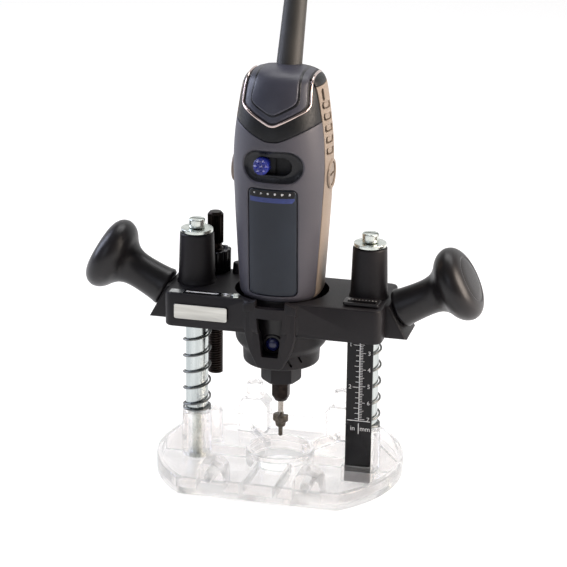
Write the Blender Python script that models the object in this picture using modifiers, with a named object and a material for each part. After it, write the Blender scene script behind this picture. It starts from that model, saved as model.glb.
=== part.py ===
"""Plunge-router stand with a rotary hobby tool clamped in it, as separate sub-parts.

Metres, +Z up. The origin is on the tool's axis at the underside of the base. The front of
the tool faces -Y, and the two guide columns stand along X.
"""

import math

import bmesh
import bpy
from mathutils import Matrix, Vector

MM = 0.001

# Clearances
GAP = 0.3 * MM
PAST = 3.0 * MM
SUNK = 1.0 * MM

# Clear base
COLUMN_X = 50.6 * MM
BASE_MARGIN = 21.4 * MM
BASE_RADIUS = COLUMN_X + BASE_MARGIN
BASE_HALF_DEPTH = 55.0 * MM
FLOOR = 3.0 * MM
RIM_TOP = 10.0 * MM
RIM_WALL = 2.8 * MM
EYE_RADIUS = 15.0 * MM
EYE_WALL = 5.0 * MM
EYE_TOP = 12.0 * MM
EYE_WINDOW = 17.0 * MM
EYE_BRIDGE = 3.0 * MM
RIB = 2.4 * MM
RIB_TOP = 9.0 * MM
ROD_BOSS_X = 28.0 * MM
ROD_BOSS_WIDTH = 16.0 * MM
ROD_BOSS_LENGTH = 16.0 * MM
ROD_BOSS_AXIS_Z = 12.0 * MM
ROD_BORE_RADIUS = 3.2 * MM
POST_X = 27.0 * MM
POST_Y = BASE_HALF_DEPTH - 10.0 * MM
POST_WIDTH = 18.6 * MM
POST_DEPTH = 15.0 * MM
POST_SHOULDER = 24.0 * MM
POST_SLOPE = 4.0 * MM
POST_PEG_RADIUS = 5.0 * MM
POST_PEG_TOP = 33.0 * MM

# Guide columns, their fasteners and springs
COLUMN_RADIUS = 6.65 * MM
COLUMN_TOP = 139.5 * MM
BOSS_RADIUS = 8.5 * MM
BOSS_TOP = 30.0 * MM
BOLT_RADIUS = 3.0 * MM
BOLT_HEAD_RADIUS = 5.2 * MM
BOLT_HEAD = 4.0 * MM
BOLT_GRIP = 14.0 * MM
WASHER_RADIUS = 9.3 * MM
WASHER = 2.0 * MM
STOP_SCREW_RADIUS = 2.5 * MM
STOP_HEAD_RADIUS = 4.7 * MM
STOP_HEAD = 5.2 * MM
STOP_GRIP = 16.0 * MM
DRIVER_SLOT = 1.4 * MM
SPRING_WIRE = 1.2 * MM
SPRING_PITCH = 10.3 * MM
SPRING_END_PITCH = 1.7 * MM
SPRING_END_TURNS = 1.5
POINTS_PER_CURL = 9

# Sliding carriage
ARM_OVERHANG = 12.4 * MM
ARM_HALF_LENGTH = COLUMN_X + ARM_OVERHANG
ARM_HALF_DEPTH = 26.0 * MM
ARM_BOTTOM = 90.0 * MM
ARM_TOP = 110.0 * MM
ARM_CORNER = 7.0 * MM
COLLAR_RADIUS = 31.0 * MM
COLLAR_WAIST_RADIUS = 27.0 * MM
COLLAR_SHOULDER_Z = 77.0 * MM
COLLAR_CUP_RADIUS = 21.8 * MM
COLLAR_BOTTOM = 67.0 * MM
COLLAR_FLOOR = 3.0 * MM
COLLAR_WALL = 3.4 * MM
MOUTH_RADIUS = 27.0 * MM
SLEEVE_TOP = COLUMN_TOP - GAP / 3
SLEEVE_BASE_RADIUS = 10.6 * MM
SLEEVE_TIP_RADIUS = 9.75 * MM
BUSH_WALL = 1.1 * MM
SPRING_LIP = 2.0 * MM
WINDOW_TOP = ARM_TOP - 9.0 * MM
WINDOW_BOTTOM = 76.0 * MM
WINDOW_TOP_WIDTH = 15.0 * MM
WINDOW_BOTTOM_WIDTH = 9.6 * MM
NOTCH_WIDTH = 17.0 * MM
NOTCH_DEPTH = 3.0 * MM
SHIELD_PROUD = 1.2 * MM
LUG_REACH = ARM_HALF_LENGTH + 12.5 * MM
LUG_HALF_DEPTH = 14.0 * MM
BADGE_WIDTH = 31.0 * MM
BADGE_HEIGHT = 8.6 * MM
BADGE_X = -COLUMN_X + 9.6 * MM
BADGE_Z = (ARM_BOTTOM + ARM_TOP) / 2 - 0.2 * MM
BADGE = 0.8 * MM

# Handles
HANDLE_RISE = math.radians(28.0)
KNOB_X = LUG_REACH + 26.0 * MM
KNOB_Z = ARM_TOP + 11.5 * MM
KNOB_RADIUS = 21.5 * MM
KNOB_THICKNESS = 18.0 * MM
NECK_RADIUS = 10.2 * MM
STUD_RADIUS = 3.8 * MM
STUD_GRIP = 16.0 * MM

# Depth scale and depth stop
SCALE_X = COLUMN_X - 0.4 * MM
SCALE_Y = -18.5 * MM
SCALE_WIDTH = 15.0 * MM
SCALE = 1.0 * MM
SCALE_TOP = ARM_TOP + 0.5 * MM
POCKET_WALL = 1.6 * MM
POCKET_TOP = 13.0 * MM
POINTER_WIDTH = 20.5 * MM
POINTER_DEPTH = 10.0 * MM
POINTER = 2.0 * MM
STOP_X = -COLUMN_X + 5.2 * MM
STOP_Y = 21.0 * MM
STOP_POST_RADIUS = 4.6 * MM
STOP_POST_TOP = 23.5 * MM
STOP_ROD_RADIUS = 4.6 * MM
STOP_ROD_BOTTOM = 47.0 * MM
STOP_ROD_TOP = 146.0 * MM
STOP_HEAD_LENGTH = 19.0 * MM
STOP_BOSS_RADIUS = 9.5 * MM
STOP_NUT_RADIUS = 9.4 * MM
STOP_NUT = 13.0 * MM
STOP_NUT_RIBS = 12
RIB_DEPTH = 0.8 * MM

# Tool body: height, half width, depth to the front, depth to the rear
BODY_STATIONS = (
    (109.0 * MM, 22.0 * MM, 23.0 * MM, 24.0 * MM),
    (112.0 * MM, 23.7 * MM, 24.7 * MM, 26.0 * MM),
    (130.0 * MM, 24.9 * MM, 25.9 * MM, 27.4 * MM),
    (150.0 * MM, 26.1 * MM, 26.8 * MM, 29.0 * MM),
    (168.0 * MM, 27.0 * MM, 27.8 * MM, 30.2 * MM),
    (185.0 * MM, 27.7 * MM, 28.8 * MM, 31.0 * MM),
    (198.0 * MM, 27.2 * MM, 29.6 * MM, 31.0 * MM),
    (209.0 * MM, 26.1 * MM, 29.6 * MM, 30.4 * MM),
    (219.0 * MM, 24.8 * MM, 27.2 * MM, 29.4 * MM),
    (229.6 * MM, 23.2 * MM, 22.8 * MM, 27.0 * MM),
    (234.4 * MM, 21.4 * MM, 19.4 * MM, 24.0 * MM),
    (237.4 * MM, 16.8 * MM, 14.8 * MM, 17.6 * MM),
    (238.6 * MM, 9.0 * MM, 8.0 * MM, 9.0 * MM),
)
BODY_SQUARENESS = 2.25
BODY_SIDES = 28
BODY_WALL = 3.0 * MM
SEAM_Y = -11.0 * MM

# Shield cap, bright trim and dark band at the top front
SHIELD_HALF_WIDTH = 17.8 * MM
SHIELD_TOP_HALF_WIDTH = 16.6 * MM
SHIELD_BEND_Z = 221.9 * MM
SHIELD_TIP_Z = 213.0 * MM
SHIELD_TIP_ROUND = 3.0 * MM
TRIM_WIDTH = 2.2 * MM
TRIM_PROUD = 0.5 * MM
BAND_TIP_Z = 201.8 * MM
BAND_END_Z = 212.3 * MM
BAND_END_X = 24.0 * MM
EMBLEM_HALF_WIDTH = 11.6 * MM
EMBLEM_RECESS = 0.8 * MM

# Front panel and switch
PANEL_BOTTOM = 113.0 * MM
PANEL_TOP = 176.0 * MM
PANEL_WIDTH = 28.0 * MM
PANEL_CORNER = 3.0 * MM
PANEL = 1.0 * MM
SWITCH_Z = 188.8 * MM
RECESS_LENGTH = 36.0 * MM
RECESS_HEIGHT = 20.0 * MM
RECESS_DEPTH = 1.7 * MM
SLOT_LENGTH = 21.4 * MM
SLOT_HEIGHT = 10.4 * MM
SWITCH_TRAVEL = 12.4 * MM
SLIDER_CORNER = 3.0 * MM
SLIDER_PLATE = 1.6 * MM
SLIDER_PLATE_WIDTH = 14.0 * MM
SLIDER_PLATE_HEIGHT = 13.0 * MM

# Rear housing details
VENT_COUNT = 5
VENT_BOTTOM_Z = 194.0 * MM
VENT_PITCH = 7.0 * MM
VENT_HEIGHT = 3.4 * MM
VENT_FRONT_Y = -6.0 * MM
VENT_REAR_Y = 8.0 * MM
BRUSH_Z = 180.2 * MM
BRUSH_CAP_RADIUS = 6.4 * MM
BRUSH_RING_RADIUS = 8.6 * MM
BRUSH_RING_PROUD = 0.7 * MM
SCREW_X = 14.6 * MM
SCREW_HEIGHTS = (117.0 * MM, 202.0 * MM)
SCREW_RADIUS = 1.4 * MM
SCREW_HEAD_RADIUS = 2.7 * MM
SCREW_HEAD = 2.2 * MM
SCREW_SEAT_Y = 5.0 * MM
SCREW_BOSS_RADIUS = 3.7 * MM
SCREW_GRIP = 4.4 * MM

# Strain relief
RELIEF_TILT = math.radians(22.0)
RELIEF_Y = 8.4 * MM
RELIEF_Z = 234.4 * MM
RELIEF_LENGTH = 66.0 * MM
RELIEF_BASE_RADIUS = 7.2 * MM
RELIEF_TIP_RADIUS = 5.9 * MM
RELIEF_BORE = 2.7 * MM
RELIEF_FLANGE_RADIUS = 9.0 * MM

# Nose, spindle and motor
NOSE_RADIUS = 20.6 * MM
NOSE_FOOT_RADIUS = 17.8 * MM
NOSE_FLANGE_RADIUS = 21.8 * MM
NOSE_THREAD_RADIUS = 8.4 * MM
NOSE_THREAD_BOTTOM = 55.5 * MM
SPIGOT_TOP = 112.6 * MM
SPIGOT_WALL = 1.7 * MM
CLAMP_NUT_WALL = 1.7 * MM
CLAMP_NUT_ACROSS = 2 * (NOSE_THREAD_RADIUS + CLAMP_NUT_WALL)
CLAMP_NUT = 12.2 * MM
SHAFT_RADIUS = 4.0 * MM
SHAFT_TOP = 197.0 * MM
SHAFT_NOSE_RADIUS = SHAFT_RADIUS - 0.55 * MM
SHAFT_NOSE_BOTTOM = 45.0 * MM
SHAFT_SHOULDER = 56.0 * MM
COLLET_NUT_ACROSS = 2 * (SHAFT_NOSE_RADIUS + 1.25 * MM)
COLLET_NUT_TOP = 53.6 * MM
COLLET_NUT_BOTTOM = 41.6 * MM
COLLET_WALL = 0.6 * MM
SHANK_RADIUS = 1.6 * MM
CUTTER_TIP_Z = 18.9 * MM
CUTTER_RADIUS = 4.5 * MM
CUTTER_TOP = 32.0 * MM
CUTTER_BOTTOM = 25.4 * MM
PILOT_RADIUS = 1.25 * MM
LOWER_BEARING_RADIUS = 11.0 * MM
LOWER_BEARING_Z = 90.0 * MM
BEARING = 7.0 * MM
UPPER_BEARING_RADIUS = 8.0 * MM
UPPER_BEARING_Z = 189.4 * MM
FAN_RADIUS = 16.0 * MM
FAN_BOTTOM = 100.0 * MM
FAN = 7.0 * MM
FAN_BLADES = 9
CORE_RADIUS = 12.4 * MM
CORE_BOTTOM = 128.0 * MM
CORE_TOP = 158.0 * MM
WINDING_RADIUS = 10.0 * MM
WINDING = 6.0 * MM
FIELD_RADIUS = 18.8 * MM
COMMUTATOR_RADIUS = 8.0 * MM
COMMUTATOR_BOTTOM = 170.0 * MM
COMMUTATOR_TOP = 185.6 * MM
BRUSH_WIDTH = 5.0 * MM
BRUSH_HEIGHT = 6.0 * MM
BRUSH_LENGTH = 9.0 * MM
HOLDER_WALL = 1.5 * MM
BUTTON_Z = 83.0 * MM
BUTTON_RADIUS = 4.0 * MM
BUTTON_PROUD = 1.4 * MM
BUTTON_TRAVEL = 2.6 * MM
BUTTON_PIN_RADIUS = 1.5 * MM
BUTTON_HEAD = 6.0 * MM
BUTTON_SPRING_WIRE = 0.7 * MM
BUTTON_SPRING_TURNS = 3.5

for stale in list(bpy.data.objects):
    bpy.data.objects.remove(stale, do_unlink=True)

PARTS = bpy.data.collections.new("plunge_router_rotary_tool")
CUTTERS = bpy.data.collections.new("cutters")
bpy.context.scene.collection.children.link(PARTS)
bpy.context.scene.collection.children.link(CUTTERS)
MATERIALS = {}


def material(name, colour, roughness, metallic=0.0, transmission=0.0):
    """A plain Principled material, kept under its name for every part made of it."""
    made = bpy.data.materials.new(name)
    made.use_nodes = True
    shader = made.node_tree.nodes["Principled BSDF"]
    shader.inputs["Base Color"].default_value = (*colour, 1.0)
    shader.inputs["Roughness"].default_value = roughness
    shader.inputs["Metallic"].default_value = metallic
    shader.inputs["Transmission Weight"].default_value = transmission
    made.diffuse_color = (*colour, 1.0)
    MATERIALS[name] = made


material("clear_acrylic", (0.93, 0.94, 0.95), 0.08, transmission=0.9)
material("black_nylon", (0.022, 0.021, 0.024), 0.55)
material("black_gloss", (0.012, 0.014, 0.018), 0.18)
material("slate_grip", (0.13, 0.135, 0.16), 0.6)
material("warm_grey_shell", (0.2, 0.185, 0.17), 0.55)
material("panel_slate", (0.05, 0.06, 0.08), 0.45)
material("bright_chrome", (0.8, 0.78, 0.77), 0.12, metallic=1.0)
material("zinc_plate", (0.72, 0.74, 0.75), 0.28, metallic=1.0)
material("spring_steel", (0.55, 0.57, 0.58), 0.3, metallic=1.0)
material("dark_steel", (0.09, 0.085, 0.085), 0.4, metallic=0.8)
material("tool_steel", (0.5, 0.47, 0.42), 0.35, metallic=1.0)
material("silver_plate", (0.75, 0.75, 0.72), 0.35, metallic=0.7)
material("blue_button", (0.05, 0.06, 0.32), 0.4)
material("dark_rubber", (0.045, 0.043, 0.046), 0.7)
material("copper", (0.65, 0.33, 0.2), 0.35, metallic=1.0)
material("laminations", (0.3, 0.3, 0.31), 0.5, metallic=0.9)
material("carbon", (0.04, 0.04, 0.045), 0.8)
material("circuit_green", (0.03, 0.16, 0.07), 0.5)
material("ivory_plastic", (0.6, 0.56, 0.46), 0.5)
material("bronze", (0.45, 0.3, 0.14), 0.4, metallic=1.0)


def place(name, mesh, finish):
    """An object for this mesh: a part where it has a finish, or else a cutter."""
    made = bpy.data.objects.new(name, mesh)
    if finish:
        mesh.materials.append(MATERIALS[finish])
        PARTS.objects.link(made)
    else:
        CUTTERS.objects.link(made)
        made.hide_render = True
        made.display_type = "WIRE"
    return made


def finished(name, bm, finish=None):
    """The bmesh, with its faces turned outwards, as an object."""
    bmesh.ops.recalc_face_normals(bm, faces=bm.faces)
    mesh = bpy.data.meshes.new(name)
    bm.to_mesh(mesh)
    bm.free()
    return place(name, mesh, finish)


def smooth(obj, angle=35.0):
    obj.data.shade_smooth()
    obj.data.set_sharp_from_angle(angle=math.radians(angle))
    return obj


def box(name, low, high, finish=None, bevel=0.0, edges="all", segments=2):
    """A box between two corners, with all, its upright or its top edges bevelled."""
    low, high = Vector(low), Vector(high)
    size = high - low
    bm = bmesh.new()
    bmesh.ops.create_cube(bm, size=1.0)
    bmesh.ops.scale(bm, vec=size, verts=bm.verts)
    bmesh.ops.translate(bm, vec=(low + high) / 2, verts=bm.verts)
    if bevel:
        chosen = bm.edges[:]
        if edges == "upright":
            chosen = [e for e in chosen if abs(e.verts[0].co.z - e.verts[1].co.z) > size.z / 2]
        elif edges == "top":
            chosen = [e for e in chosen if min(v.co.z for v in e.verts) > high.z - size.z / 4]
        bmesh.ops.bevel(bm, geom=chosen, offset=bevel, segments=segments, affect="EDGES", profile=0.5)
    return finished(name, bm, finish)


def rod(name, radius, start, end, finish=None, sides=16, end_radius=None):
    """A round bar, or a cone, between two points."""
    start, end = Vector(start), Vector(end)
    run = end - start
    bm = bmesh.new()
    bmesh.ops.create_cone(
        bm,
        cap_ends=True,
        segments=sides,
        radius1=radius,
        radius2=radius if end_radius is None else end_radius,
        depth=run.length,
    )
    turn = Vector((0, 0, 1)).rotation_difference(run).to_matrix().to_4x4()
    bmesh.ops.transform(bm, matrix=Matrix.Translation((start + end) / 2) @ turn, verts=bm.verts)
    made = finished(name, bm, finish)
    return smooth(made) if finish else made


def turned(name, profile, finish=None, steps=16, at=(0.0, 0.0, 0.0), tilt=None):
    """A profile of (radius, height) points turned about Z: a ring where it stays off the axis.

    The points run down the outer side, from the top, and a ring's go back up its bore.
    """
    mesh = bpy.data.meshes.new(name)
    points = [(radius, 0.0, height) for radius, height in profile]
    links = [(i, i + 1) for i in range(len(points) - 1)]
    if profile[0][0] > 0.0:
        links.append((len(points) - 1, 0))
    mesh.from_pydata(points, links, [])
    made = place(name, mesh, finish)
    made.location = at
    if tilt:
        made.rotation_euler = tilt
    screw = made.modifiers.new("turn", "SCREW")
    screw.steps = steps
    screw.render_steps = steps
    screw.use_merge_vertices = True
    screw.merge_threshold = 0.00001
    screw.use_smooth_shade = True
    return made


def prism(name, outline, low, high, finish=None, axis="Z"):
    """A flat outline drawn out along an axis: (x, y) points for Z, (x, z) for Y, (y, z) for X."""
    spread = {
        "Z": lambda a, b, d: (a, b, d),
        "Y": lambda a, b, d: (a, d, b),
        "X": lambda a, b, d: (d, a, b),
    }[axis]
    bm = bmesh.new()
    face = bm.faces.new([bm.verts.new(spread(a, b, low)) for a, b in outline])
    drawn = bmesh.ops.extrude_face_region(bm, geom=[face])["geom"]
    moved = [item for item in drawn if isinstance(item, bmesh.types.BMVert)]
    bmesh.ops.translate(bm, vec=spread(0.0, 0.0, high - low), verts=moved)
    return finished(name, bm, finish)


def boolean(target, operation, *others):
    """Each other object cut from, joined to or kept in common with the target."""
    for other in others:
        change = target.modifiers.new(f"{operation.lower()} {other.name}", "BOOLEAN")
        change.operation = operation
        change.object = other
        change.solver = "EXACT"
    return target


def together(name, *pieces):
    """Plain forms that stand clear of each other, as one object for a single cut or join."""
    bm = bmesh.new()
    for piece in pieces:
        bm.from_mesh(piece.data)
        bpy.data.objects.remove(piece, do_unlink=True)
    return finished(name, bm)


def cut(target, *others):
    return boolean(target, "DIFFERENCE", *others)


def join(target, *others):
    return boolean(target, "UNION", *others)


def keep(target, *others):
    return boolean(target, "INTERSECT", *others)


def arc(centre, radius, start, end, steps):
    """Points along a circular arc, angles in degrees."""
    for i in range(steps + 1):
        angle = math.radians(start + (end - start) * i / steps)
        yield centre[0] + radius * math.cos(angle), centre[1] + radius * math.sin(angle)


def rounded(centre, width, height, radius, steps=4):
    """A rectangle with round corners, counter-clockwise."""
    x, y = width / 2 - radius, height / 2 - radius
    corners = ((x, y, 0), (-x, y, 90), (-x, -y, 180), (x, -y, 270))
    return [
        point
        for dx, dy, start in corners
        for point in arc((centre[0] + dx, centre[1] + dy), radius, start, start + 90, steps)
    ]


def stadium(centre, length, height, steps=8):
    """A slot outline with half-round ends."""
    reach, radius = (length - height) / 2, height / 2
    right = arc((centre[0] + reach, centre[1]), radius, -90, 90, steps)
    left = arc((centre[0] - reach, centre[1]), radius, 90, 270, steps)
    return [*right, *left]


def hexagon(name, across, low, high, finish=None, turn=0.0):
    corner = across / math.sqrt(3)
    outline = list(arc((0.0, 0.0), corner, turn, turn + 300, 5))
    return prism(name, outline, low, high, finish)


def both_sides(builder):
    """Runs a builder for the left side (-1) and the right side (+1)."""
    for side, word in ((-1, "left"), (1, "right")):
        builder(side, word)


def coil(name, finish, radius, wire, centres, start_angle=0.0, matrix=None):
    """One unbroken wire tube through points given as (turns, height), with its own least gap."""
    points = []
    for turns, height in centres:
        angle = start_angle + 2 * math.pi * turns
        point = Vector((radius * math.cos(angle), radius * math.sin(angle), height))
        points.append(matrix @ point if matrix else point)
    curve = bpy.data.curves.new(name, "CURVE")
    curve.dimensions = "3D"
    curve.bevel_depth = wire / 2
    curve.bevel_resolution = 1
    curve.use_fill_caps = True
    spline = curve.splines.new("POLY")
    spline.points.add(len(points) - 1)
    for slot, point in zip(spline.points, points):
        slot.co = (*point, 1.0)
    near = POINTS_PER_CURL // 2
    least = min(
        (a - b).length for i, a in enumerate(points) for b in points[i + near :]
    )
    print(f"{name}: least gap between its curls {(least - wire) / MM:.2f} mm")
    curve.materials.append(MATERIALS[finish])
    made = bpy.data.objects.new(name, curve)
    PARTS.objects.link(made)
    return made


# Tool body sections

def body_size(z):
    """Half width, front depth and rear depth of the tool body at this height."""
    stations = BODY_STATIONS
    if z <= stations[0][0]:
        return stations[0][1:]
    for (z0, *low), (z1, *high) in zip(stations, stations[1:]):
        if z <= z1:
            share = (z - z0) / (z1 - z0)
            return tuple(a + (b - a) * share for a, b in zip(low, high))
    return stations[-1][1:]


def body_ring(z, inset, sides):
    """Points round the body at this height, moved in by the inset."""
    half, front, rear = (size - inset for size in body_size(z))
    power = 2 / BODY_SQUARENESS
    for i in range(sides):
        c, s = math.cos(2 * math.pi * i / sides), math.sin(2 * math.pi * i / sides)
        x = half * math.copysign(abs(c) ** power, c)
        y = (rear if s > 0 else front) * math.copysign(abs(s) ** power, s)
        yield x, y


def body_loft(name, inset=0.0, finish=None, low=None, sides=BODY_SIDES):
    """The body's outer form, or one set in from it, lofted through the stations."""
    heights = [station[0] for station in BODY_STATIONS]
    rings = [(z, z - inset if z > heights[-4] else z) for z in heights]
    if low is not None:
        rings.insert(0, (heights[0], low))
    bm = bmesh.new()
    loops = []
    for z, place_z in rings:
        loops.append([bm.verts.new((x, y, place_z)) for x, y in body_ring(z, inset, sides)])
    for below, above in zip(loops, loops[1:]):
        for i in range(sides):
            j = (i + 1) % sides
            bm.faces.new((below[i], below[j], above[j], above[i]))
    bmesh.ops.triangulate(bm, faces=bm.faces)
    bm.faces.new(list(reversed(loops[0])))
    bm.faces.new(loops[-1])
    return finished(name, bm, finish)


def body_x(z, inset=0.0):
    return body_size(z)[0] - inset


def body_front(z, x=0.0, inset=0.0):
    """Y of the front surface, moved in by the inset, at this height and distance from the middle."""
    half, front, _ = (size - inset for size in body_size(z))
    return -front * (1 - (abs(x) / half) ** BODY_SQUARENESS) ** (1 / BODY_SQUARENESS)


def body_rear(z, x=0.0, inset=0.0):
    half, _, rear = (size - inset for size in body_size(z))
    return rear * (1 - (abs(x) / half) ** BODY_SQUARENESS) ** (1 / BODY_SQUARENESS)


# Base

def base_outline(inset):
    """The round base with its front and back cut flat."""
    radius, depth = BASE_RADIUS - inset, BASE_HALF_DEPTH - inset
    end = math.degrees(math.asin(depth / radius))
    right = arc((0.0, 0.0), radius, -end, end, 14)
    left = arc((0.0, 0.0), radius, 180 - end, 180 + end, 14)
    return [*right, *left]


def rod_boss(side):
    """Arched boss at the front that takes an edge guide's rod."""
    x, half = side * ROD_BOSS_X, ROD_BOSS_WIDTH / 2
    top = arc((x, ROD_BOSS_AXIS_Z), half, 0, 180, 10)
    outline = [(x - half, FLOOR - SUNK), (x + half, FLOOR - SUNK), *top]
    front = -BASE_HALF_DEPTH + SUNK
    return prism(f"rod_boss_{side}", outline, front, front + ROD_BOSS_LENGTH, axis="Y")


def rod_bore(side):
    x, front = side * ROD_BOSS_X, -BASE_HALF_DEPTH
    start = (x, front - PAST, ROD_BOSS_AXIS_Z)
    end = (x, front + ROD_BOSS_LENGTH + PAST, ROD_BOSS_AXIS_Z)
    return rod(f"rod_bore_{side}", ROD_BORE_RADIUS, start, end, sides=12)


def rear_post(side):
    """Square post with sloped shoulders and a round peg."""
    x, half, deep = side * POST_X, POST_WIDTH / 2, POST_DEPTH / 2
    low = (x - half, POST_Y - deep, FLOOR - SUNK)
    high = (x + half, POST_Y + deep, POST_SHOULDER)
    block = box(f"rear_post_{side}", low, high, bevel=POST_SLOPE, edges="top", segments=1)
    peg_start = (x, POST_Y, POST_SHOULDER - POST_SLOPE)
    peg = rod(f"rear_peg_{side}", POST_PEG_RADIUS, peg_start, (x, POST_Y, POST_PEG_TOP), sides=12)
    return block, peg


def column_boss(side):
    """Boss with a web that runs out to the rim."""
    x = side * COLUMN_X
    boss = rod(f"boss_{side}", BOSS_RADIUS, (x, 0, FLOOR - SUNK), (x, 0, BOSS_TOP), sides=20)
    near, far = x + side * (BOSS_RADIUS - SUNK), side * (BASE_RADIUS - RIM_WALL / 2)
    web = [(near, FLOOR - SUNK), (far, FLOOR - SUNK), (far, RIM_TOP - SUNK), (near, BOSS_TOP * 0.7)]
    gusset = prism(f"gusset_{side}", web, -RIB / 2, RIB / 2, axis="Y")
    start, end = side * (EYE_RADIUS + EYE_WALL / 2), x - side * (BOSS_RADIUS - SUNK)
    low = (min(start, end), -RIB / 2, FLOOR - SUNK)
    rib = box(f"boss_rib_{side}", low, (max(start, end), RIB / 2, RIB_TOP))
    return boss, gusset, rib


def column_bolt_hole(side):
    x = side * COLUMN_X
    hole = rod(f"bolt_hole_{side}", BOLT_RADIUS + GAP, (x, 0, -PAST), (x, 0, BOSS_TOP + PAST), sides=12)
    deep = GAP + BOLT_HEAD + GAP
    sink = rod(f"bolt_sink_{side}", BOLT_HEAD_RADIUS + GAP, (x, 0, -PAST), (x, 0, deep), sides=14)
    return hole, sink


def window_wall(side):
    """Wall from the eye's collar to the front rim, beside the viewing window."""
    near, far = side * EYE_WINDOW / 2, side * (EYE_WINDOW / 2 + RIB)
    low = (min(near, far), -BASE_HALF_DEPTH + SUNK, FLOOR - SUNK)
    return box(f"window_wall_{side}", low, (max(near, far), -EYE_RADIUS - SUNK, RIB_TOP))


def post_rib(side):
    """Rib from the eye's collar to a rear post."""
    away = Vector((side * POST_X, POST_Y - POST_DEPTH / 2 + SUNK)).normalized()
    across = Vector((-away.y, away.x)) * RIB / 2
    start = away * (EYE_RADIUS + EYE_WALL / 2)
    end = away * (POST_Y - POST_DEPTH / 2 + SUNK) / away.y
    outline = [start - across, end - across, end + across, start + across]
    return prism(f"post_rib_{side}", [tuple(p) for p in outline], FLOOR - SUNK, RIB_TOP)


def scale_pocket():
    """Walls that hold the foot of the depth scale, and the slot between them."""
    half, deep = SCALE_WIDTH / 2 + GAP, SCALE / 2 + GAP
    outer = box(
        "scale_pocket",
        (SCALE_X - half - POCKET_WALL, SCALE_Y - deep - POCKET_WALL, FLOOR - SUNK),
        (SCALE_X + half + POCKET_WALL, SCALE_Y + deep + POCKET_WALL, POCKET_TOP),
    )
    slot = box(
        "scale_pocket_slot",
        (SCALE_X - half, SCALE_Y - deep, FLOOR),
        (SCALE_X + half, SCALE_Y + deep, POCKET_TOP + PAST),
    )
    return outer, slot


def base_plate():
    base = prism("base_plate", base_outline(0.0), 0.0, RIM_TOP, "clear_acrylic")
    cut(base, prism("tray", base_outline(RIM_WALL), FLOOR, RIM_TOP + PAST))
    collar = rod("eye_collar", EYE_RADIUS + EYE_WALL, (0, 0, FLOOR - SUNK), (0, 0, EYE_TOP), sides=32)
    stop_post = rod(
        "stop_post",
        STOP_POST_RADIUS,
        (STOP_X, STOP_Y, FLOOR - SUNK),
        (STOP_X, STOP_Y, STOP_POST_TOP),
        sides=14,
    )
    pocket, pocket_slot = scale_pocket()
    join(base, collar, stop_post, pocket)
    for side in (-1, 1):
        join(base, window_wall(side), post_rib(side), *column_boss(side))
        join(base, rod_boss(side), *rear_post(side))
    eye = rod("eye", EYE_RADIUS, (0, 0, -PAST), (0, 0, EYE_TOP + PAST), sides=32)
    half = EYE_WINDOW / 2
    outer = -EYE_RADIUS - EYE_WALL - PAST
    window = box("eye_window", (-half, outer, FLOOR), (half, 0.0, EYE_TOP - EYE_BRIDGE))
    cut(base, eye, window, pocket_slot)
    for side in (-1, 1):
        cut(base, rod_bore(side), *column_bolt_hole(side))


# Columns

def guide_column(side, word):
    """Column with a bore at each end for the bolt below and the screw above."""
    x, low = side * COLUMN_X, BOSS_TOP + GAP
    chamfer = 0.8 * MM
    profile = [
        (0.0, COLUMN_TOP),
        (COLUMN_RADIUS - chamfer, COLUMN_TOP),
        (COLUMN_RADIUS, COLUMN_TOP - chamfer),
        (COLUMN_RADIUS, low),
        (0.0, low),
    ]
    column = turned(f"{word}_guide_column", profile, "zinc_plate", 20, (x, 0, 0))
    lower = rod(
        f"column_foot_bore_{word}",
        BOLT_RADIUS + GAP,
        (x, 0, low - PAST),
        (x, 0, low + BOLT_GRIP + GAP),
        sides=12,
    )
    upper = rod(
        f"column_head_bore_{word}",
        STOP_SCREW_RADIUS + GAP,
        (x, 0, COLUMN_TOP - STOP_GRIP - GAP),
        (x, 0, COLUMN_TOP + PAST),
        sides=12,
    )
    cut(column, lower, upper)


def column_bolt(side, word):
    """Bolt that holds a column down, its head sunk in the base's underside."""
    x, head_low = side * COLUMN_X, GAP
    head_top = head_low + BOLT_HEAD
    profile = [
        (0.0, BOSS_TOP + GAP + BOLT_GRIP),
        (BOLT_RADIUS, BOSS_TOP + GAP + BOLT_GRIP),
        (BOLT_RADIUS, head_top),
        (BOLT_HEAD_RADIUS, head_top),
        (BOLT_HEAD_RADIUS, head_low),
        (0.0, head_low),
    ]
    bolt = turned(f"{word}_column_bolt", profile, "zinc_plate", 12, (x, 0, 0))
    half = DRIVER_SLOT / 2
    low = (x - BOLT_HEAD_RADIUS - PAST, -half, head_low - PAST)
    high = (x + BOLT_HEAD_RADIUS + PAST, half, head_low + BOLT_HEAD / 2)
    cut(bolt, box(f"bolt_slot_{word}", low, high))


def stop_washer(side, word):
    low = COLUMN_TOP + GAP
    profile = [
        (WASHER_RADIUS, low + WASHER),
        (WASHER_RADIUS, low),
        (STOP_SCREW_RADIUS + GAP, low),
        (STOP_SCREW_RADIUS + GAP, low + WASHER),
    ]
    turned(f"{word}_stop_washer", profile, "zinc_plate", 20, (side * COLUMN_X, 0, 0))


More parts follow.
